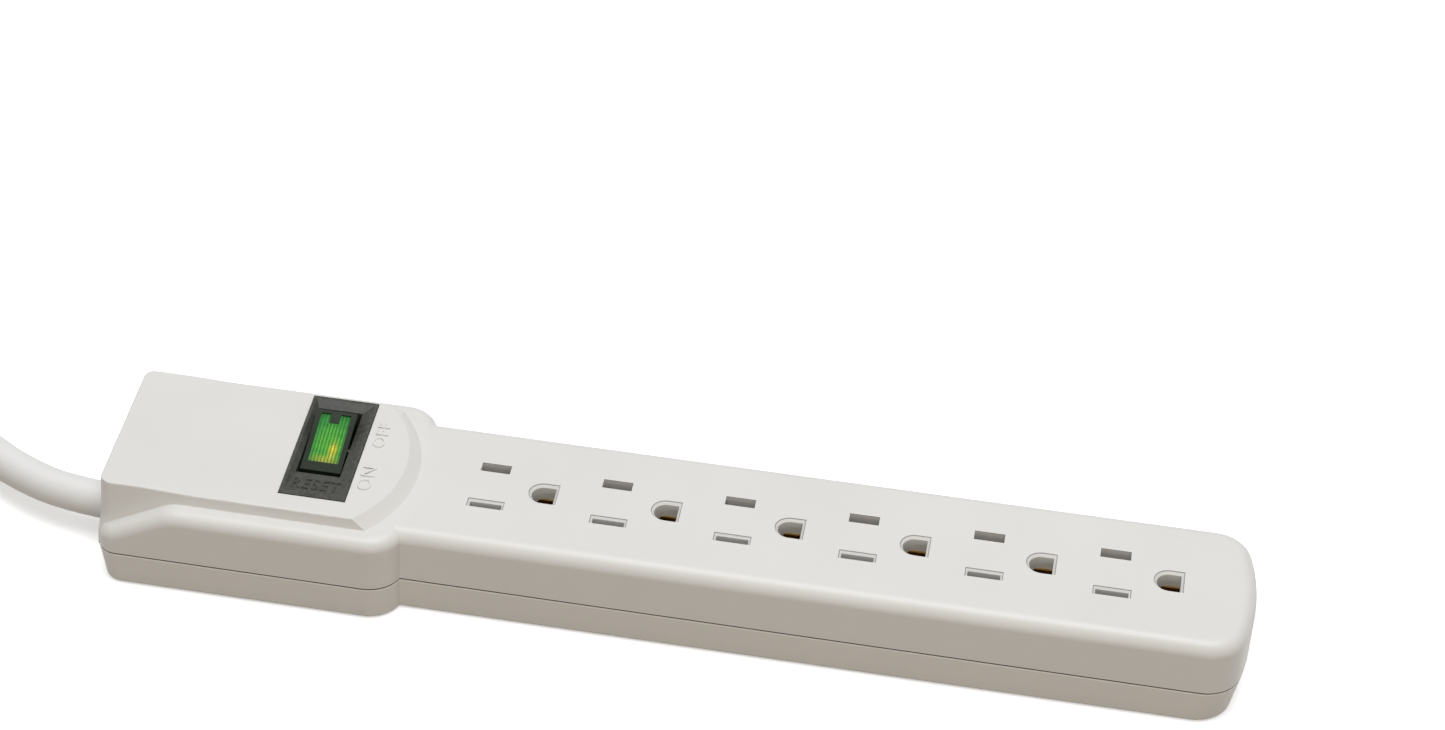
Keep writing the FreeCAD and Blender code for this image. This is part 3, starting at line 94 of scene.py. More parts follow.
@dataclass(frozen=True)
class Moulding:
    """A moulded or rubbery surface with a fine grain and a little mottling.

    Attributes:
        name: The material's name.
        colour: Its base colour in linear light.
        roughness: Its mean roughness.
        grain: The size of its surface grain in metres.
        relief: The height of the grain's bump in metres.
        mottle: How far the colour drifts from place to place, as a share.
        metallic: One for bare metal, nought for plastic.
        coat: The weight of a clear glossy skin.
        seam: The height of a dark joint line in metres, or nought for none; it also turns on the painted
            highlight on the lip under it and the painted shade round the outlets' mouths.
        patch: The size of the colour's patches in metres.
    """

    name: str
    colour: Colour
    roughness: float = 0.4
    grain: float = 0.0006
    relief: float = 0.00002
    mottle: float = 0.03
    metallic: float = 0.0
    coat: float = 0.0
    seam: float = 0.0
    patch: float = 0.026

    def material(self) -> bpy.types.Material:
        """Build the node material, once.

        Returns:
            The material, shared by every piece with this finish.
        """
        known = bpy.data.materials.get(self.name)
        if known:
            return known
        made = bpy.data.materials.new(self.name)
        made.use_nodes = True
        nodes, links = made.node_tree.nodes, made.node_tree.links
        shader = nodes["Principled BSDF"]
        shader.inputs["Metallic"].default_value = self.metallic
        shader.inputs["Coat Weight"].default_value = self.coat
        shader.inputs["Coat Roughness"].default_value = 0.12
        place = nodes.new("ShaderNodeTexCoord")
        drift = nodes.new("ShaderNodeTexNoise")
        drift.inputs["Scale"].default_value = 1.0 / self.patch
        drift.inputs["Detail"].default_value = 3.0
        links.new(place.outputs["Object"], drift.inputs["Vector"])
        tint = nodes.new("ShaderNodeValToRGB")
        tint.color_ramp.elements[0].position = 0.3
        tint.color_ramp.elements[1].position = 0.7
        low = [c * (1.0 - self.mottle) for c in self.colour]
        high = [min(1.0, c * (1.0 + self.mottle)) for c in self.colour]
        tint.color_ramp.elements[0].color = (*low, 1.0)
        tint.color_ramp.elements[1].color = (*high, 1.0)
        links.new(drift.outputs["Fac"], tint.inputs["Fac"])
        links.new(self._joint_and_painted_edge_light(nodes, links, place, tint.outputs["Color"]), shader.inputs["Base Color"])
        gloss = nodes.new("ShaderNodeMapRange")
        gloss.inputs["To Min"].default_value = self.roughness * 0.85
        gloss.inputs["To Max"].default_value = min(1.0, self.roughness * 1.15)
        links.new(drift.outputs["Fac"], gloss.inputs["Value"])
        links.new(gloss.outputs["Result"], shader.inputs["Roughness"])
        speck = nodes.new("ShaderNodeTexNoise")
        speck.inputs["Scale"].default_value = 1.0 / self.grain
        speck.inputs["Detail"].default_value = 2.0
        links.new(place.outputs["Object"], speck.inputs["Vector"])
        bump = nodes.new("ShaderNodeBump")
        bump.inputs["Strength"].default_value = 0.6
        bump.inputs["Distance"].default_value = self.relief
        links.new(speck.outputs["Fac"], bump.inputs["Height"])
        links.new(bump.outputs["Normal"], shader.inputs["Normal"])
        return made

    def _joint_and_painted_edge_light(self, nodes: bpy.types.Nodes, links: bpy.types.NodeLinks, place: bpy.types.Node,
                    colour: bpy.types.NodeSocket) -> bpy.types.NodeSocket:
        """Darken the colour in the joint of the shells, paint a highlight on the lower shell's lip and paint
        shade round the outlets' bevelled mouths.

        Args:
            nodes: The material's nodes.
            links: Its links.
            place: The node that gives the place on the object.
            colour: The colour before the joint.

        Returns:
            The colour with its dark joint, painted highlight and painted shade, or as it was.
        """
        if not self.seam:
            return colour
        split = nodes.new("ShaderNodeSeparateXYZ")
        links.new(place.outputs["Object"], split.inputs["Vector"])

        def within(axis: str, middle: float, reach: float) -> bpy.types.NodeSocket:
            """Test whether a coordinate lies near a middle value.

            Args:
                axis: The coordinate's letter.
                middle: The middle value.
                reach: How far from it still counts.

            Returns:
                One where it does, else nought.
            """
            test = nodes.new("ShaderNodeMath")
            test.operation = "COMPARE"
            test.inputs[1].default_value = middle
            test.inputs[2].default_value = reach
            links.new(split.outputs[axis], test.inputs[0])
            return test.outputs["Value"]

        def shaded(under: bpy.types.NodeSocket, factor: bpy.types.NodeSocket,
                   line: Colour) -> bpy.types.NodeSocket:
            """Lay a line's colour over another where the factor is one.

            Args:
                under: The colour so far.
                factor: Where the line is.
                line: The line's colour.

            Returns:
                The colour with the line.
            """
            mix = nodes.new("ShaderNodeMix")
            mix.data_type = "RGBA"
            mix.inputs["B"].default_value = (*line, 1.0)
            links.new(factor, mix.inputs["Factor"])
            links.new(under, mix.inputs["A"])
            return mix.outputs["Result"]

        # Painted shade round the outlets' bevelled mouths.
        mouth_shade_mask = within("Z", MOUTH_SHADE_HEIGHT, MOUTH_SHADE_HALF_WIDTH)
        for axis, middle, reach in zip("XY", MOUTH_SHADE_MIDDLE, MOUTH_SHADE_REACH):
            both = nodes.new("ShaderNodeMath")
            both.operation = "MULTIPLY"
            links.new(mouth_shade_mask, both.inputs[0])
            links.new(within(axis, middle, reach), both.inputs[1])
            mouth_shade_mask = both.outputs["Value"]
        joint = within("Z", self.seam, SEAM_HALF_WIDTH)
        # Painted highlight on the lower shell's lip, just under the dark joint.
        lip_highlight_mask = within("Z", self.seam - LIP_HIGHLIGHT_DROP, LIP_HIGHLIGHT_HALF_WIDTH)
        return shaded(shaded(shaded(colour, lip_highlight_mask, LIP_HIGHLIGHT_COLOUR), joint, SEAM_COLOUR), mouth_shade_mask, MOUTH_SHADE_COLOUR)


# A wave texture of scale one has a band in each of these lengths.
WAVE_UNIT = 0.05 * 2.0 * math.pi


@dataclass(frozen=True)
class GreenWindow:
    """The rocker's green window, lit from inside by the neon lamp.

    Attributes:
        name: The material's name.
        colour: The window's base colour.
        dusk: The light at its unlit ends.
        shade: The light half way to its middle.
        glow: The light of its middle.
        ember: The light over the lamp itself.
        centre: The middle of the lit green, in metres.
        reach: How far the green spreads along each axis.
        lamp: Where the lamp shines through.
        lamp_reach: How far its ember spreads along each axis.
        sill: The middle of the warm light along the near end.
        sill_reach: How far that spreads along each axis.
        rib_pitch: The pitch of its ribs.
        dot_pitch: The pitch of its knurl's bright points.
    """

    name: str
    colour: Colour
    dusk: Colour
    shade: Colour
    glow: Colour
    ember: Colour
    centre: tuple[float, float, float]
    reach: tuple[float, float, float]
    lamp: tuple[float, float, float]
    lamp_reach: tuple[float, float, float]
    sill: tuple[float, float, float]
    sill_reach: tuple[float, float, float]
    rib_pitch: float = 0.00078
    dot_pitch: float = 0.00052

    def material(self) -> bpy.types.Material:
        """Build the node material: ribs of lit green, an ember over the lamp and dark ends.

        Returns:
            The window's material.
        """
        made = bpy.data.materials.new(self.name)
        made.use_nodes = True
        nodes, links = made.node_tree.nodes, made.node_tree.links
        shader = nodes["Principled BSDF"]
        shader.inputs["Base Color"].default_value = (*self.colour, 1.0)
        shader.inputs["Roughness"].default_value = 0.14
        shader.inputs["Coat Weight"].default_value = 0.6
        shader.inputs["Emission Strength"].default_value = 1.0
        place = nodes.new("ShaderNodeTexCoord")
        green = self._pool(nodes, links, place, self.centre, self.reach, (
            (0.0, self.dusk), (0.3, self.shade), (0.75, self.glow)))
        fading = ((0.0, (0.0, 0.0, 0.0)), (0.35, (0.05, 0.03, 0.0)), (1.0, self.ember))
        ember = self._pool(nodes, links, place, self.lamp, self.lamp_reach, fading)
        sill = self._pool(nodes, links, place, self.sill, self.sill_reach, (
            (0.0, (0.0, 0.0, 0.0)), (0.4, (0.04, 0.016, 0.0)), (1.0, (0.42, 0.13, 0.004))))
        ribs = nodes.new("ShaderNodeTexWave")
        ribs.bands_direction = "X"
        ribs.inputs["Scale"].default_value = WAVE_UNIT / self.rib_pitch
        ribs.inputs["Distortion"].default_value = 0.6
        ribs.inputs["Detail Scale"].default_value = 2.0
        links.new(place.outputs["Object"], ribs.inputs["Vector"])
        dots = nodes.new("ShaderNodeTexVoronoi")
        dots.inputs["Scale"].default_value = 1.0 / self.dot_pitch
        dots.inputs["Randomness"].default_value = 0.35
        links.new(place.outputs["Object"], dots.inputs["Vector"])
        stripe = nodes.new("ShaderNodeMapRange")
        stripe.inputs["To Min"].default_value = 0.45
        stripe.inputs["To Max"].default_value = 1.25
        links.new(ribs.outputs["Fac"], stripe.inputs["Value"])
        fleck = nodes.new("ShaderNodeMapRange")
        fleck.inputs["From Max"].default_value = 0.8
        fleck.inputs["To Min"].default_value = 1.3
        fleck.inputs["To Max"].default_value = 0.6
        links.new(dots.outputs["Distance"], fleck.inputs["Value"])
        pattern = nodes.new("ShaderNodeMath")
        pattern.operation = "MULTIPLY"
        links.new(stripe.outputs["Result"], pattern.inputs[0])
        links.new(fleck.outputs["Result"], pattern.inputs[1])
        total = green
        for warm in (ember, sill):
            both = nodes.new("ShaderNodeMix")
            both.data_type = "RGBA"
            both.blend_type = "ADD"
            both.inputs["Factor"].default_value = 1.0
            links.new(total, both.inputs["A"])
            links.new(warm, both.inputs["B"])
            total = both.outputs["Result"]
        lit = nodes.new("ShaderNodeVectorMath")
        lit.operation = "SCALE"
        links.new(total, lit.inputs[0])
        links.new(pattern.outputs["Value"], lit.inputs["Scale"])
        links.new(lit.outputs["Vector"], shader.inputs["Emission Color"])
        return made

    def _pool(self, nodes: bpy.types.Nodes, links: bpy.types.NodeLinks, place: bpy.types.Node,
              centre: tuple[float, float, float], reach: tuple[float, float, float],
              stops: Sequence[tuple[float, Colour]]) -> bpy.types.NodeSocket:
        """Colour an oval pool of light that fades from its centre.

        Args:
            nodes: The material's nodes.
            links: Its links.
            place: The node that gives the place on the object.
            centre: The pool's centre.
            reach: Its reach along each axis.
            stops: The colours from its rim to its centre.

        Returns:
            The pool's colour.
        """
        shift = nodes.new("ShaderNodeMapping")
        shift.vector_type = "TEXTURE"
        shift.inputs["Location"].default_value = centre
        shift.inputs["Scale"].default_value = reach
        links.new(place.outputs["Object"], shift.inputs["Vector"])
        away = nodes.new("ShaderNodeTexGradient")
        away.gradient_type = "SPHERICAL"
        links.new(shift.outputs["Vector"], away.inputs["Vector"])
        tint = nodes.new("ShaderNodeValToRGB")
        for end, (position, colour) in zip(tint.color_ramp.elements, (stops[0], stops[-1])):
            end.position = position
            end.color = (*colour, 1.0)
        for position, colour in stops[1:-1]:
            tint.color_ramp.elements.new(position).color = (*colour, 1.0)
        links.new(away.outputs["Fac"], tint.inputs["Fac"])
        return tint.outputs["Color"]


WHITE_SHELL = Moulding(
    "white_shell", linear(226, 225, 222), roughness=0.42, grain=0.0005, relief=0.000012, mottle=0.012,
    seam=SEAM_HEIGHT)
WHITE_COVER = Moulding(
    "white_cover", linear(225, 223, 218), roughness=0.45, grain=0.0005, relief=0.000012, mottle=0.012,
    seam=SEAM_HEIGHT)
RAISED_WORD = Moulding(
    "raised_word", linear(229, 228, 225), roughness=0.38, grain=0.0005, relief=0.000008, mottle=0.01)
SWITCH_FRAME = Moulding(
    "switch_frame", linear(72, 73, 68), roughness=0.46, grain=0.00045, relief=0.00007, mottle=0.3,
    patch=0.0011)
SMOKED_ROCKER = Moulding(
    "smoked_rocker", linear(30, 42, 28), roughness=0.16, grain=0.002, relief=0.000005, mottle=0.2,
    patch=0.004, coat=0.4)
WHITE_JACKET = Moulding(
    "white_jacket", linear(234, 234, 233), roughness=0.5, grain=0.0012, relief=0.00003, mottle=0.015)
BLACK_STRAP = Moulding(
    "black_strap", linear(40, 40, 42), roughness=0.6, grain=0.0006, relief=0.00004, mottle=0.1)
WHITE_PLUG = Moulding(
    "white_plug", linear(223, 222, 218), roughness=0.48, grain=0.0008, relief=0.00003, mottle=0.015)
SPRING_BRASS = Moulding(
    "spring_brass", linear(196, 160, 92), roughness=0.3, grain=0.0004, relief=0.00001, mottle=0.06,
    metallic=1.0)
PLATED_BLADE = Moulding(
    "plated_blade", linear(205, 203, 196), roughness=0.22, grain=0.0004, relief=0.000006, mottle=0.04,
    metallic=1.0)
SCREW_STEEL = Moulding(
    "screw_steel", linear(168, 168, 170), roughness=0.32, grain=0.0004, relief=0.00001, mottle=0.06,
    metallic=1.0)
LAMP_GLASS = Moulding(
    "lamp_glass", linear(230, 170, 120), roughness=0.1, grain=0.001, relief=0.000002, mottle=0.03,
    coat=0.5)
BROWN_BARREL = Moulding(
    "brown_barrel", linear(126, 84, 52), roughness=0.6, grain=0.0004, relief=0.00002, mottle=0.08)
CREAM_PART = Moulding(
    "cream_part", linear(214, 206, 184), roughness=0.5, grain=0.0005, relief=0.00001, mottle=0.03)
BLACK_WIRE = Moulding(
    "black_wire", linear(34, 34, 36), roughness=0.5, grain=0.0008, relief=0.00001, mottle=0.06)
WHITE_WIRE = Moulding(
    "white_wire", linear(224, 222, 216), roughness=0.5, grain=0.0008, relief=0.00001, mottle=0.03)
GREEN_WIRE = Moulding(
    "green_wire", linear(38, 116, 58), roughness=0.5, grain=0.0008, relief=0.00001, mottle=0.06)


def dress(piece: bpy.types.Object, finish: Moulding) -> None:
    """Give a piece one finish all over.

    Args:
        piece: The piece or carried-over node.
        finish: Its finish.
    """
    piece.data.materials.clear()
    piece.data.materials.append(finish.material())


def enter(piece: bpy.types.Object, body: Body) -> bpy.types.Object:
    """Link a piece to the scene and let it ride on a body.

    Args:
        piece: The new piece.
        body: The body that it moves with.

    Returns:
        The piece.
    """
    if piece.name not in bpy.context.scene.collection.objects:
        bpy.context.scene.collection.objects.link(piece)
    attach(piece, body.value)
    LOG.info("%s rides on %s", piece.name, body.value)
    return piece


@dataclass
class SmoothShell:
    """A moulded node shown through a copy with merged corners and even shading.

    Attributes:
        node: The node that the copy stands for.
        title: The copy's name.
        finish: Its finish.
        slot: Its material slot; not used.
        body: The body that it moves with.
        crease: The angle past which an edge stays sharp, in degrees.
        edge_round: The width of a small rounding on its sharp edges, or nought for none.
        round_past: The angle past which an edge is rounded, in degrees.
    """

    node: str
    title: str
    finish: Moulding
    slot: str
    body: Body = Body.HOUSING
    crease: float = 32.0
    edge_round: float = 0.0
    round_past: float = 40.0

    def build(self) -> bpy.types.Object:
        """Copy the node, merge it, shade it and dress it.

        Returns:
            The copy, which stands for the node.
        """
        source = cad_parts[self.node]
        mesh = source.data.copy()
        mesh.name = self.title
        shell = bmesh.new()
        shell.from_mesh(mesh)
        bmesh.ops.remove_doubles(shell, verts=shell.verts, dist=MERGE)
        self._soften(shell)
        for face in shell.faces:
            face.smooth = True
        for edge in shell.edges:
            edge.smooth = len(edge.link_faces) == 2 and edge.calc_face_angle(0.0) < math.radians(self.crease)
        shell.to_mesh(mesh)
        shell.free()
        piece = bpy.data.objects.new(self.title, mesh)
        dress(piece, self.finish)
        bpy.context.scene.collection.objects.link(piece)
        if self.edge_round:
            soft = piece.modifiers.new("edge_round", "BEVEL")
            soft.width = self.edge_round
            soft.segments = 2
            soft.limit_method = "ANGLE"
            soft.angle_limit = math.radians(self.round_past)
        even = piece.modifiers.new("even_shading", "WEIGHTED_NORMAL")
        even.keep_sharp = True
        enter(piece, self.body)
        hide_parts(self.node)
        return piece

    def _soften(self, shell: bmesh.types.BMesh) -> None:
        """Leave the merged mesh as it is, unless a shell has forms of its own."""


@dataclass
class HeadShell(SmoothShell):
    """The upper shell, with the platform's two corners at the cord end rounded.

    Attributes:
        corner: The corners' radius in plan.
        cord_end: Where the end face stands.
        half_width: The platform's half width at the joint of the shells.
        lean: How far the sides lean in for each metre of height.
        fade_low: The height at which the rounding starts to grow.
        fade_high: The height from which it is whole.
        steps: How many facets a corner has.
        levels: How many cuts its growth has.
        margin: How far outside the platform's side a point may lie and still be the platform's.
    """

    corner: float = 0.003
    cord_end: float = -0.1285
    half_width: float = 0.023
    lean: float = 2.2 / 15.9
    fade_low: float = 0.0112
    fade_high: float = 0.0168
    steps: int = 7
    levels: int = 6
    margin: float = 0.00006

    def _soften(self, shell: bmesh.types.BMesh) -> None:
        """Cut the corners into strips and draw their points in to a round.

        Args:
            shell: The merged mesh.
        """
        for step in range(1, self.steps + 1):
            inset = self.corner * (1.0 - math.cos(math.pi / 2 * step / self.steps))
            self._cut(shell, Vector((self.cord_end + inset, 0.0, 0.0)), Vector((1.0, 0.0, 0.0)))
            for side in (-1.0, 1.0):
                place = Vector((0.0, side * (self.half_width - inset), SEAM_HEIGHT))
                self._cut(shell, place, Vector((0.0, side, self.lean)))
        for step in range(self.levels):
            height = self.fade_low + (self.fade_high - self.fade_low) * step / (self.levels - 1)
            self._cut(shell, Vector((0.0, 0.0, height)), Vector((0.0, 0.0, 1.0)))
        for vertex in shell.verts:
            share = min(1.0, max(0.0, (vertex.co.z - self.fade_low) / (self.fade_high - self.fade_low)))
            radius = self.corner * share * share * (3.0 - 2.0 * share)
            edge = self.half_width - (vertex.co.z - SEAM_HEIGHT) * self.lean
            across = radius - (vertex.co.x - self.cord_end)
            beside = radius - (edge - abs(vertex.co.y))
            on_platform = abs(vertex.co.y) < edge + self.margin
            if on_platform and across > 0.0 and beside > 0.0 and math.hypot(across, beside) > radius:
                pull = radius / math.hypot(across, beside)
                vertex.co.x = self.cord_end + radius - across * pull
                vertex.co.y = math.copysign(edge - radius + beside * pull, vertex.co.y)
        uneven = [face for face in shell.faces if len(face.verts) > 3 and min(v.co.x for v in face.verts)
                  < self.cord_end + 2 * self.corner]
        bmesh.ops.triangulate(shell, faces=uneven)
        bmesh.ops.dissolve_degenerate(shell, edges=shell.edges, dist=MERGE / 2)

    def _cut(self, shell: bmesh.types.BMesh, place: Vector, normal: Vector) -> None:
        """Score the faces near the cord end along a plane.

        Args:
            shell: The merged mesh.
            place: A point on the plane.
            normal: The plane's normal.
        """
        near = [face for face in shell.faces
                if min(v.co.x for v in face.verts) < self.cord_end + self.corner
                and max(v.co.z for v in face.verts) > self.fade_low]
        edges = {edge for face in near for edge in face.edges}
        verts = {vertex for face in near for vertex in face.verts}
        bmesh.ops.bisect_plane(shell, geom=[*verts, *edges, *near], dist=MERGE / 4, plane_co=place,
                               plane_no=normal)


@dataclass
class GroundGuides:
    """The light D-shaped guides under the outlets' ground holes.

    Attributes:
        first: The centre of the first hole's round side along the strip.
        pitch: The outlets' pitch.
        count: How many outlets there are.
        radius: The half width of the hole's bore, which is the radius of its round side.
        flat: How far its flat side lies from its centre.
        wall: The guide's wall.
        top: The guide's top, against the shell.
        low: The guide's lower rim.
    """

    first: float = -0.03044
    pitch: float = 0.02794
    count: int = 6
    radius: float = 0.0028
    flat: float = 0.0025
    wall: float = 0.0007
    top: float = 0.01925
    low: float = 0.01712

    def build(self) -> bpy.types.Object:
        """Make all the guides as one piece of six open D-shaped tubes.

        Returns:
            The guides' piece.
        """
        guides = bmesh.new()
        for step in range(self.count):
            inner = self._outline(guides, step, 0.0)
            outer = self._outline(guides, step, self.wall)
            rings = bmesh.ops.bridge_loops(guides, edges=inner + outer)
            risen = bmesh.ops.extrude_face_region(guides, geom=rings["faces"])
            moved = [g for g in risen["geom"] if isinstance(g, bmesh.types.BMVert)]
            bmesh.ops.translate(guides, vec=(0.0, 0.0, self.top - self.low), verts=moved)
        bmesh.ops.recalc_face_normals(guides, faces=guides.faces)
        mesh = bpy.data.meshes.new("ground_guides")
        guides.to_mesh(mesh)
        guides.free()
        piece = bpy.data.objects.new("ground_guides", mesh)
        dress(piece, WHITE_COVER)
        return enter(piece, Body.HOUSING)

    def _outline(self, guides: bmesh.types.BMesh, step: int, proud: float) -> list[bmesh.types.BMEdge]:
        """Draw one D-shaped outline.

        Args:
            guides: The mesh under way.
            step: Which outlet it belongs to.
            proud: How far it stands outside the bore.

        Returns:
            The outline's edges.
        """
        middle = self.first + self.pitch * step
        reach = self.radius + proud
        disc = bmesh.ops.create_circle(guides, segments=32, radius=reach,
                                       matrix=Matrix.Translation((middle, 0.0, self.low)))
        for vertex in disc["verts"]:
            side = vertex.co.x - middle
            if side > MERGE:
                grow = reach / max(side, abs(vertex.co.y))
                vertex.co.y *= grow
                vertex.co.x = middle + side * grow * (self.flat + proud) / reach
        return list({edge for vertex in disc["verts"] for edge in vertex.link_edges})


# A capital's share of the type's size, and how far its strokes are thinned, by its height.
CAPITAL_SHARE = 0.72
STROKE_THINNING = 0.012


@dataclass
class RaisedWord:
    """A generic word moulded in relief on a flat face.

    Attributes:
        text: The word.
        title: The piece's name.
        height: The letters' height in metres.
        span: The word's length in metres.
        middle: The word's middle on the face.
        turn: The reading direction's angle from +X, in degrees.
        relief: How far it stands proud.
        lean: The face's tilt about the reading direction, in degrees.
    """

    text: str
    title: str
    height: float
    span: float
    middle: Vector
    turn: float
    relief: float = 0.00038
    lean: float = 0.0

    def build(self, finish: Moulding, slot: str) -> bpy.types.Object:
        """Make the word as a mesh in its place.

        Args:
            finish: The word's finish.
            slot: Its material slot; not used.

        Returns:
            The word's piece.
        """
        curve = bpy.data.curves.new(self.title, "FONT")
        curve.body = self.text
        curve.align_x = "CENTER"
        curve.align_y = "CENTER"
        curve.resolution_u = 6
        curve.space_character = 1.1
        curve.size = self.height / CAPITAL_SHARE
        curve.extrude = self.relief
        curve.offset = -self.height * STROKE_THINNING
        drawn = bpy.data.objects.new(self.title + "_curve", curve)
        mesh = bpy.data.meshes.new_from_object(drawn)
        bpy.data.objects.remove(drawn)
        mesh.name = self.title
        left, right = (limit(v.co.x for v in mesh.vertices) for limit in (min, max))
        foot, head = (limit(v.co.y for v in mesh.vertices) for limit in (min, max))
        fit = Matrix.Diagonal((self.span / (right - left), self.height / (head - foot), 1.0, 1.0))
        place = (Matrix.Translation(self.middle) @ Matrix.Rotation(math.radians(self.turn), 4, "Z")
                 @ Matrix.Rotation(math.radians(self.lean), 4, "X"))
        mesh.transform(place @ fit @ Matrix.Translation((-(left + right) / 2, -(foot + head) / 2, 0.0)))
        piece = bpy.data.objects.new(self.title, mesh)
        dress(piece, finish)
        return enter(piece, Body.HOUSING)


@dataclass
class LitWindow:
    """The rocker's knurled green window over its lamp.

    Attributes:
        pitch_x: The knurl's pitch across the rocker.
        pitch_y: The knurl's pitch along the rocker.
        relief: The knurl's height.
        plain_end: The smooth length at the near end.
        tilt: The rocker's tilt at rest, in degrees.
        notch_width: The notch's width at the raised end.
        notch_length: The notch's length.
        thickness: The plate's thickness.
        play: The gap round the plate.
        pivot: A point on the rocker's axis.
        low: The plate's near left corner, from the pivot, on the level rocker.
        high: Its far right corner.
    """

    pitch_x: float = 0.00058
    pitch_y: float = 0.00046
    relief: float = 0.00016
    plain_end: float = 0.0016
    tilt: float = 11.3
    notch_width: float = 0.0023
    notch_length: float = 0.0026
    thickness: float = 0.001
    play: float = 0.00004
    pivot: Vector = field(default_factory=lambda: Vector((-0.08125, 0.00545, 0.0206)))
    low: Vector = field(default_factory=lambda: Vector((-0.0035, -0.0062, 0.00325)))
    high: Vector = field(default_factory=lambda: Vector((0.0035, 0.0081, 0.00325)))

    def build(self, finish: GreenWindow) -> bpy.types.Object:
        """Make the knurled plate and turn it with the rocker.

        Args:
            finish: The window's finish.

        Returns:
            The window's piece.
        """
        plate = bmesh.new()
        wide = self.high.x - self.low.x - 2 * self.play
        long = self.high.y - self.low.y - 2 * self.play
        columns = round(wide / self.pitch_x) * 2
        rows = round(long / self.pitch_y) * 2
        bmesh.ops.create_grid(plate, x_segments=columns, y_segments=rows, size=0.5)
        bmesh.ops.scale(plate, vec=(wide, long, 1.0), verts=plate.verts)
        centre = (self.low + self.high) / 2
        bmesh.ops.translate(plate, vec=centre, verts=plate.verts)
        for vertex in plate.verts:
            column = round((vertex.co.x - self.low.x - self.play) / wide * columns)
            row = round((vertex.co.y - self.low.y - self.play) / long * rows)
            if vertex.co.y > self.low.y + self.plain_end and column % 2 and row % 2:
                vertex.co.z += self.relief
        gone = [f for f in plate.faces if self._in_notch(f.calc_center_median())]
        bmesh.ops.delete(plate, geom=gone, context="FACES")
        deep = bmesh.ops.extrude_face_region(plate, geom=list(plate.faces))
        lowered = [g for g in deep["geom"] if isinstance(g, bmesh.types.BMVert)]
        for vertex in lowered:
            vertex.co.z = self.low.z - self.thickness
        bmesh.ops.recalc_face_normals(plate, faces=plate.faces)
        turn = Matrix.Translation(self.pivot) @ Matrix.Rotation(math.radians(self.tilt), 4, "X")
        bmesh.ops.transform(plate, matrix=turn, verts=plate.verts)
        mesh = bpy.data.meshes.new("lit_window")
        plate.to_mesh(mesh)
        plate.free()
        piece = bpy.data.objects.new("lit_window", mesh)
        piece.data.materials.append(finish.material())
        enter(piece, Body.ROCKER)
        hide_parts("rocker_lens")
        return piece

    def _in_notch(self, place: Vector) -> bool:
        """Whether a place on the level plate falls in the notch."""
        return abs(place.x) < self.notch_width / 2 + 0.0001 and place.y > self.high.y - self.notch_length


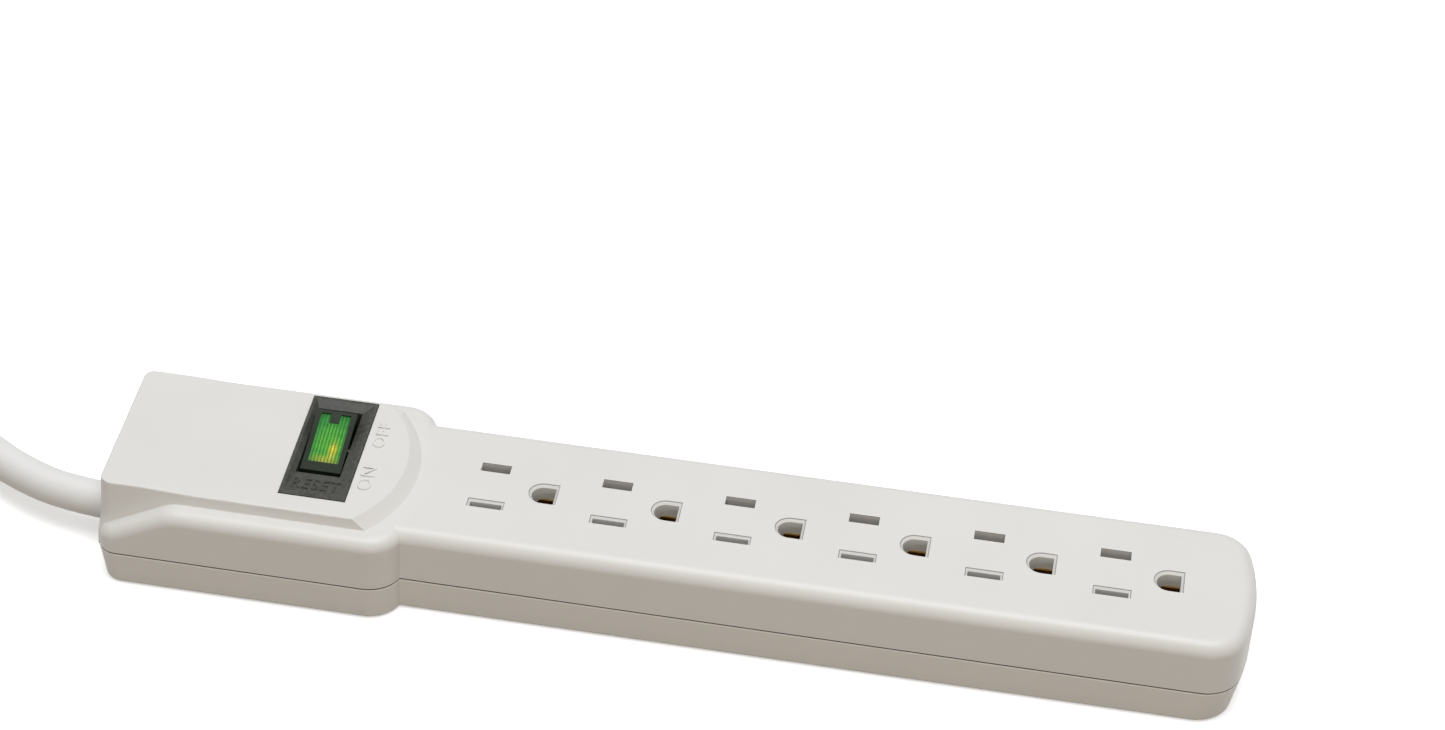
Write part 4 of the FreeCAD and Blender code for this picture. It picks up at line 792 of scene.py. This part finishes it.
@dataclass
class SupplyCord:
    """The free cord: out of the housing, into its put-away hank and on to the plug.

    Attributes:
        diameter: The jacket's diameter, in millimetres like every size here.
        route: The route's points up to the hank.
        fold_radius: The radius of the folds at the hank's ends.
        reach: The length of its runs.
        waist: The width across its drawn-in middle.
        loops: How many whole loops it has.
        climb: How far each loop climbs along its near run.
        per_fold: How many points each fold has.
        ease: How far from a fold or the waist a run stays level with it.
        tail: The steps from the hank's end to the plug.
    """

    diameter: float = 8.6
    route: Sequence[tuple[float, float, float]] = (
        (-110.0, -9.0, 8.4), (-136.0, -9.2, 8.4), (-156.6, -0.7, 7.4), (-174.0, 14.5, 6.0),
        (-192.5, 21.4, 5.25), (-211.5, 21.4, 5.25))
    fold_radius: float = 26.0
    reach: float = 129.0
    waist: float = 10.2
    loops: int = 2
    climb: float = 9.2
    per_fold: int = 8
    ease: float = 17.0
    tail: Sequence[tuple[float, float, float]] = (
        (0.0, 0.0, 0.0), (-19.0, 0.0, 0.0), (-56.0, -8.4, -10.7), (-75.5, -8.4, -10.7))

    def _run(self, start: Vector, heading: float, side: float, climb: float) -> list[Vector]:
        """Lead one run from fold to fold past the waist.

        Args:
            start: Where the run leaves a fold.
            heading: One towards +X, minus one towards -X.
            side: One on the far side of the hank, minus one on the near side.
            climb: How far the run climbs.

        Returns:
            The run's control points.
        """
        inward = side * (self.fold_radius - self.waist / 2)
        half = self.reach / 2
        near_fold = math.sin(math.pi / self.per_fold / 2) * self.fold_radius
        stations = ((near_fold, 0.0), (self.ease, 0.0), (half - self.ease, inward),
                    (half + self.ease, inward), (self.reach - self.ease, 0.0),
                    (self.reach - near_fold, 0.0))
        places = []
        for along, shift in stations:
            share = along / self.reach
            lift = climb * share * share * (3.0 - 2.0 * share)
            places.append(start + Vector((heading * along, -shift, lift)))
        return places

    def _fold(self, start: Vector, side: float) -> list[Vector]:
        """Turn round one end of the hank.

        Args:
            start: Where the run before it ends.
            side: One for the cord-side fold, minus one for the plug-side fold.

        Returns:
            The fold's control points.
        """
        stretch = self.fold_radius / (0.75 + 0.25 * math.cos(math.pi / self.per_fold))
        centre = start + Vector((0.0, side * self.fold_radius, 0.0))
        angles = [math.pi * (step + 0.5) / self.per_fold for step in range(self.per_fold)]
        return [centre + Vector((side * stretch * math.sin(angle), -side * stretch * math.cos(angle), 0.0))
                for angle in angles]

    def points(self) -> list[Vector]:
        """Lead the cord's one smooth line from the clamp to the plug.

        Returns:
            Its control points in metres.
        """
        made = [Vector(place) for place in self.route]
        start = made[-1] + Vector((-self.diameter, 0.0, 0.0))
        across = Vector((0.0, 2.0 * self.fold_radius, 0.0))
        for _ in range(self.loops):
            made += self._run(start, -1.0, 1.0, 0.0)
            start = start + Vector((-self.reach, 0.0, 0.0))
            made += self._fold(start, -1.0)
            start = start - across
            made += self._run(start, 1.0, -1.0, self.climb)
            start = start + Vector((self.reach, 0.0, self.climb))
            made += self._fold(start, 1.0)
            start = start + across
        made += self._run(start, -1.0, 1.0, 0.0)
        end = start + Vector((-self.reach - self.diameter, 0.0, 0.0))
        made += [end + Vector(step) for step in self.tail]
        return [place * MM for place in made]

    def build(self) -> bpy.types.Object:
        """Draw the cord as one smooth curve with a round section.

        Returns:
            The cord's piece.
        """
        places = self.points()
        curve = bpy.data.curves.new("supply_cord", "CURVE")
        curve.dimensions = "3D"
        curve.resolution_u = 8
        curve.bevel_depth = self.diameter / 2 * MM
        curve.bevel_resolution = 8
        curve.use_fill_caps = True
        line = curve.splines.new("NURBS")
        line.points.add(len(places) - 1)
        for point, place in zip(line.points, places):
            point.co = (*place, 1.0)
        line.order_u = 3
        line.use_endpoint_u = True
        piece = bpy.data.objects.new("supply_cord", curve)
        dress(piece, WHITE_JACKET)
        enter(piece, Body.HOUSING)
        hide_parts("power_cord", "cord_hank", "cord_tail")
        return piece


@dataclass
class Studio:
    """The pale floor, the soft lights and the camera.

    Attributes:
        aim: The point that the camera looks at.
        distance: The camera's distance from it.
        heading: The camera's turn about Z, in radians.
        elevation: Its height above the horizon, in radians.
        roll: Its roll, in radians.
        lens: Its focal length in millimetres on a 36 mm sensor.
        shift: The framing's shift.
        floor_glow: How far the floor's paper is lifted towards white.
        floor_gap: How far it lies under the strip, so that the two faces don't coincide.
        floor_half: Half its side.
        paper: Its colour as it is seen.
        bounce: Its colour for the light that it throws back on the strip.
        fill: The strength of the even light from all round.
    """

    aim: Vector = field(default_factory=lambda: Vector((-0.061217, 0.032276, 0.02)))
    distance: float = 0.893604
    heading: float = 0.2042035
    elevation: float = 0.6747975
    roll: float = 0.00632932
    lens: float = 95.532
    shift: tuple[float, float] = (0.19571, 0.01952)
    floor_glow: float = 0.45
    floor_gap: float = 0.0002
    floor_half: float = 6.0
    paper: Colour = (0.97, 0.97, 0.97)
    bounce: Colour = (0.24, 0.2, 0.16)
    fill: float = 0.42

    def camera(self) -> bpy.types.Object:
        """Place the camera at the photograph's viewing angle.

        Returns:
            The camera.
        """
        back = Vector((math.sin(self.heading) * math.cos(self.elevation),
                       -math.cos(self.heading) * math.cos(self.elevation), math.sin(self.elevation)))
        right = Vector((math.cos(self.heading), math.sin(self.heading), 0.0))
        up = back.cross(right)
        across = right * math.cos(self.roll) + up * math.sin(self.roll)
        along = up * math.cos(self.roll) - right * math.sin(self.roll)
        data = bpy.data.cameras.new("studio_camera")
        data.lens = self.lens
        data.sensor_width = 36.0
        data.sensor_fit = "HORIZONTAL"
        data.shift_x, data.shift_y = self.shift
        data.clip_start, data.clip_end = 0.01, 20.0
        made = bpy.data.objects.new("studio_camera", data)
        turn = Matrix((across, along, back)).transposed().to_4x4()
        made.matrix_world = Matrix.Translation(self.aim + back * self.distance) @ turn
        bpy.context.scene.collection.objects.link(made)
        bpy.context.scene.camera = made
        return made

    def lamp(self, name: str, place: Vector, size: float, power: float, colour: Colour) -> None:
        """Add one soft square lamp aimed at the strip.

        Args:
            name: The lamp's name.
            place: Where it hangs.
            size: Its side in metres.
            power: Its power in watts.
            colour: Its colour.
        """
        data = bpy.data.lights.new(name, "AREA")
        data.size = size
        data.energy = power
        data.color = colour
        made = bpy.data.objects.new(name, data)
        made.location = place
        made.rotation_euler = (-place).to_track_quat("-Z", "Y").to_euler()
        bpy.context.scene.collection.objects.link(made)

    def floor(self) -> None:
        """Lay the pale floor, which keeps the strip's soft shadow."""
        sheet = bmesh.new()
        bmesh.ops.create_grid(sheet, x_segments=1, y_segments=1, size=self.floor_half)
        bmesh.ops.translate(sheet, vec=(0.0, 0.0, -self.floor_gap), verts=sheet.verts)
        mesh = bpy.data.meshes.new("studio_floor")
        sheet.to_mesh(mesh)
        sheet.free()
        made = bpy.data.objects.new("studio_floor", mesh)
        paper = bpy.data.materials.new("floor_paper")
        paper.use_nodes = True
        nodes, links = paper.node_tree.nodes, paper.node_tree.links
        shader = nodes["Principled BSDF"]
        shader.inputs["Roughness"].default_value = 0.9
        shader.inputs["Specular IOR Level"].default_value = 0.0
        path = nodes.new("ShaderNodeLightPath")
        seen = nodes.new("ShaderNodeMath")
        seen.operation = "MAXIMUM"
        links.new(path.outputs["Is Camera Ray"], seen.inputs[0])
        links.new(path.outputs["Is Glossy Ray"], seen.inputs[1])
        clear = nodes.new("ShaderNodeMath")
        clear.operation = "MAXIMUM"
        links.new(seen.outputs["Value"], clear.inputs[0])
        links.new(path.outputs["Is Transmission Ray"], clear.inputs[1])
        tone = nodes.new("ShaderNodeMix")
        tone.data_type = "RGBA"
        tone.inputs["A"].default_value = (*self.bounce, 1.0)
        tone.inputs["B"].default_value = (*self.paper, 1.0)
        links.new(clear.outputs["Value"], tone.inputs["Factor"])
        links.new(tone.outputs["Result"], shader.inputs["Base Color"])
        shader.inputs["Emission Color"].default_value = (1.0, 1.0, 1.0, 1.0)
        lift = nodes.new("ShaderNodeMath")
        lift.operation = "MULTIPLY"
        lift.inputs[1].default_value = self.floor_glow
        links.new(clear.outputs["Value"], lift.inputs[0])
        links.new(lift.outputs["Value"], shader.inputs["Emission Strength"])
        made.data.materials.append(paper)
        bpy.context.scene.collection.objects.link(made)

    def world(self, strength: float) -> None:
        """Fill the surroundings with even light that the camera sees as white.

        Args:
            strength: The fill light's strength on the strip.
        """
        sky = bpy.data.worlds.new("studio_world")
        sky.use_nodes = True
        nodes, links = sky.node_tree.nodes, sky.node_tree.links
        nodes["Background"].inputs["Color"].default_value = (1.0, 1.0, 1.0, 1.0)
        path = nodes.new("ShaderNodeLightPath")
        level = nodes.new("ShaderNodeMapRange")
        level.inputs["To Min"].default_value = strength
        level.inputs["To Max"].default_value = 1.0
        links.new(path.outputs["Is Camera Ray"], level.inputs["Value"])
        links.new(level.outputs["Result"], nodes["Background"].inputs["Strength"])
        bpy.context.scene.world = sky

    def build(self) -> None:
        """Set up the whole studio."""
        self.camera()
        self.floor()
        self.world(self.fill)
        self.lamp("key_softbox", Vector((0.04, 0.02, 1.4)), 0.9, 12.2, (1.0, 1.0, 1.0))
        self.lamp("front_fill", Vector((0.35, -1.45, 0.25)), 0.9, 3.6, (1.0, 0.8, 0.56))
        bpy.context.scene.view_settings.view_transform = "Standard"


@dataclass
class Fittings:
    """The carried-over nodes and their finishes."""

    finishes: dict[str, Moulding] = field(default_factory=lambda: {
        "housing_screws": SCREW_STEEL, "clamp_screws": SCREW_STEEL, "plunger_spring": SCREW_STEEL,
        "lamp_leads": SCREW_STEEL, "bimetal_strip": SCREW_STEEL, "switch_body": SWITCH_FRAME,
        "neon_lamp": LAMP_GLASS, "lamp_resistor": BROWN_BARREL, "plunger": CREAM_PART,
        "contact_arm": SPRING_BRASS, "arm_terminal": SPRING_BRASS, "line_terminal": SPRING_BRASS,
        "load_terminal": SPRING_BRASS, "lamp_terminal": SPRING_BRASS, "hot_bus": SPRING_BRASS,
        "neutral_bus": SPRING_BRASS, "ground_bus": SPRING_BRASS, "cord_clamp": CREAM_PART,
        "cord_grommet": WHITE_JACKET, "hot_wire": BLACK_WIRE, "switched_wire": BLACK_WIRE,
        "neutral_wire": WHITE_WIRE, "ground_wire": GREEN_WIRE, "hank_tie": BLACK_STRAP,
        "plug_blades": PLATED_BLADE, "plug_ground_pin": PLATED_BLADE})

    def build(self) -> None:
        """Dress every carried-over node."""
        for name, finish in self.finishes.items():
            dress(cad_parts[name], finish)
            LOG.info("%s is dressed in %s", name, finish.name)


SHELLS = (
    HeadShell("top_housing", "upper_shell", WHITE_SHELL, "white_plastic"),
    SmoothShell("bottom_cover", "lower_shell", WHITE_COVER, "white_plastic"),
    SmoothShell("switch_bezel", "switch_frame", SWITCH_FRAME, "black_plastic"),
    SmoothShell("rocker", "smoked_rocker", SMOKED_ROCKER, "smoke_plastic", Body.ROCKER, edge_round=0.00022),
    SmoothShell("plug_body", "plug_grip", WHITE_PLUG, "white_rubber"),
)

PLATFORM_TOP = 0.0243

WORDS = (
    RaisedWord("OFF", "word_off", 0.0029, 0.0087, Vector((-0.06985, 0.00895, PLATFORM_TOP)), 90.0),
    RaisedWord("ON", "word_on", 0.0032, 0.0080, Vector((-0.06985, -0.0067, PLATFORM_TOP)), 90.0),
)

RESET_WORD = RaisedWord("RESET", "word_reset", 0.0042, 0.0108, Vector((-0.0806, -0.0107, 0.02386)), 0.0,
                        relief=0.00025, lean=-8.55)


def main() -> None:
    """Build the strip's looks in order."""
    logging.basicConfig(level=logging.INFO, format="%(name)s: %(message)s")
    Studio().build()
    cord = SupplyCord().build()
    Fittings().build()
    shells = {shell.title: shell.build() for shell in SHELLS}
    window = GreenWindow(
        "green_window", colour=linear(20, 70, 26), dusk=linear(22, 84, 34), shade=linear(40, 132, 48),
        glow=linear(80, 166, 46), ember=linear(226, 140, 16), centre=(-0.0812, 0.0046, 0.0236),
        reach=(0.0065, 0.0105, 0.008), lamp=(-0.0798, 0.0026, 0.0232), lamp_reach=(0.0019, 0.0046, 0.004),
        sill=(-0.0812, -0.0004, 0.0225), sill_reach=(0.0062, 0.0024, 0.004))
    LitWindow().build(window)
    GroundGuides().build()
    for word in WORDS:
        word.build(RAISED_WORD, "white_plastic")
    RESET_WORD.build(SWITCH_FRAME, "black_plastic")


if __name__ == "__main__":
    main()
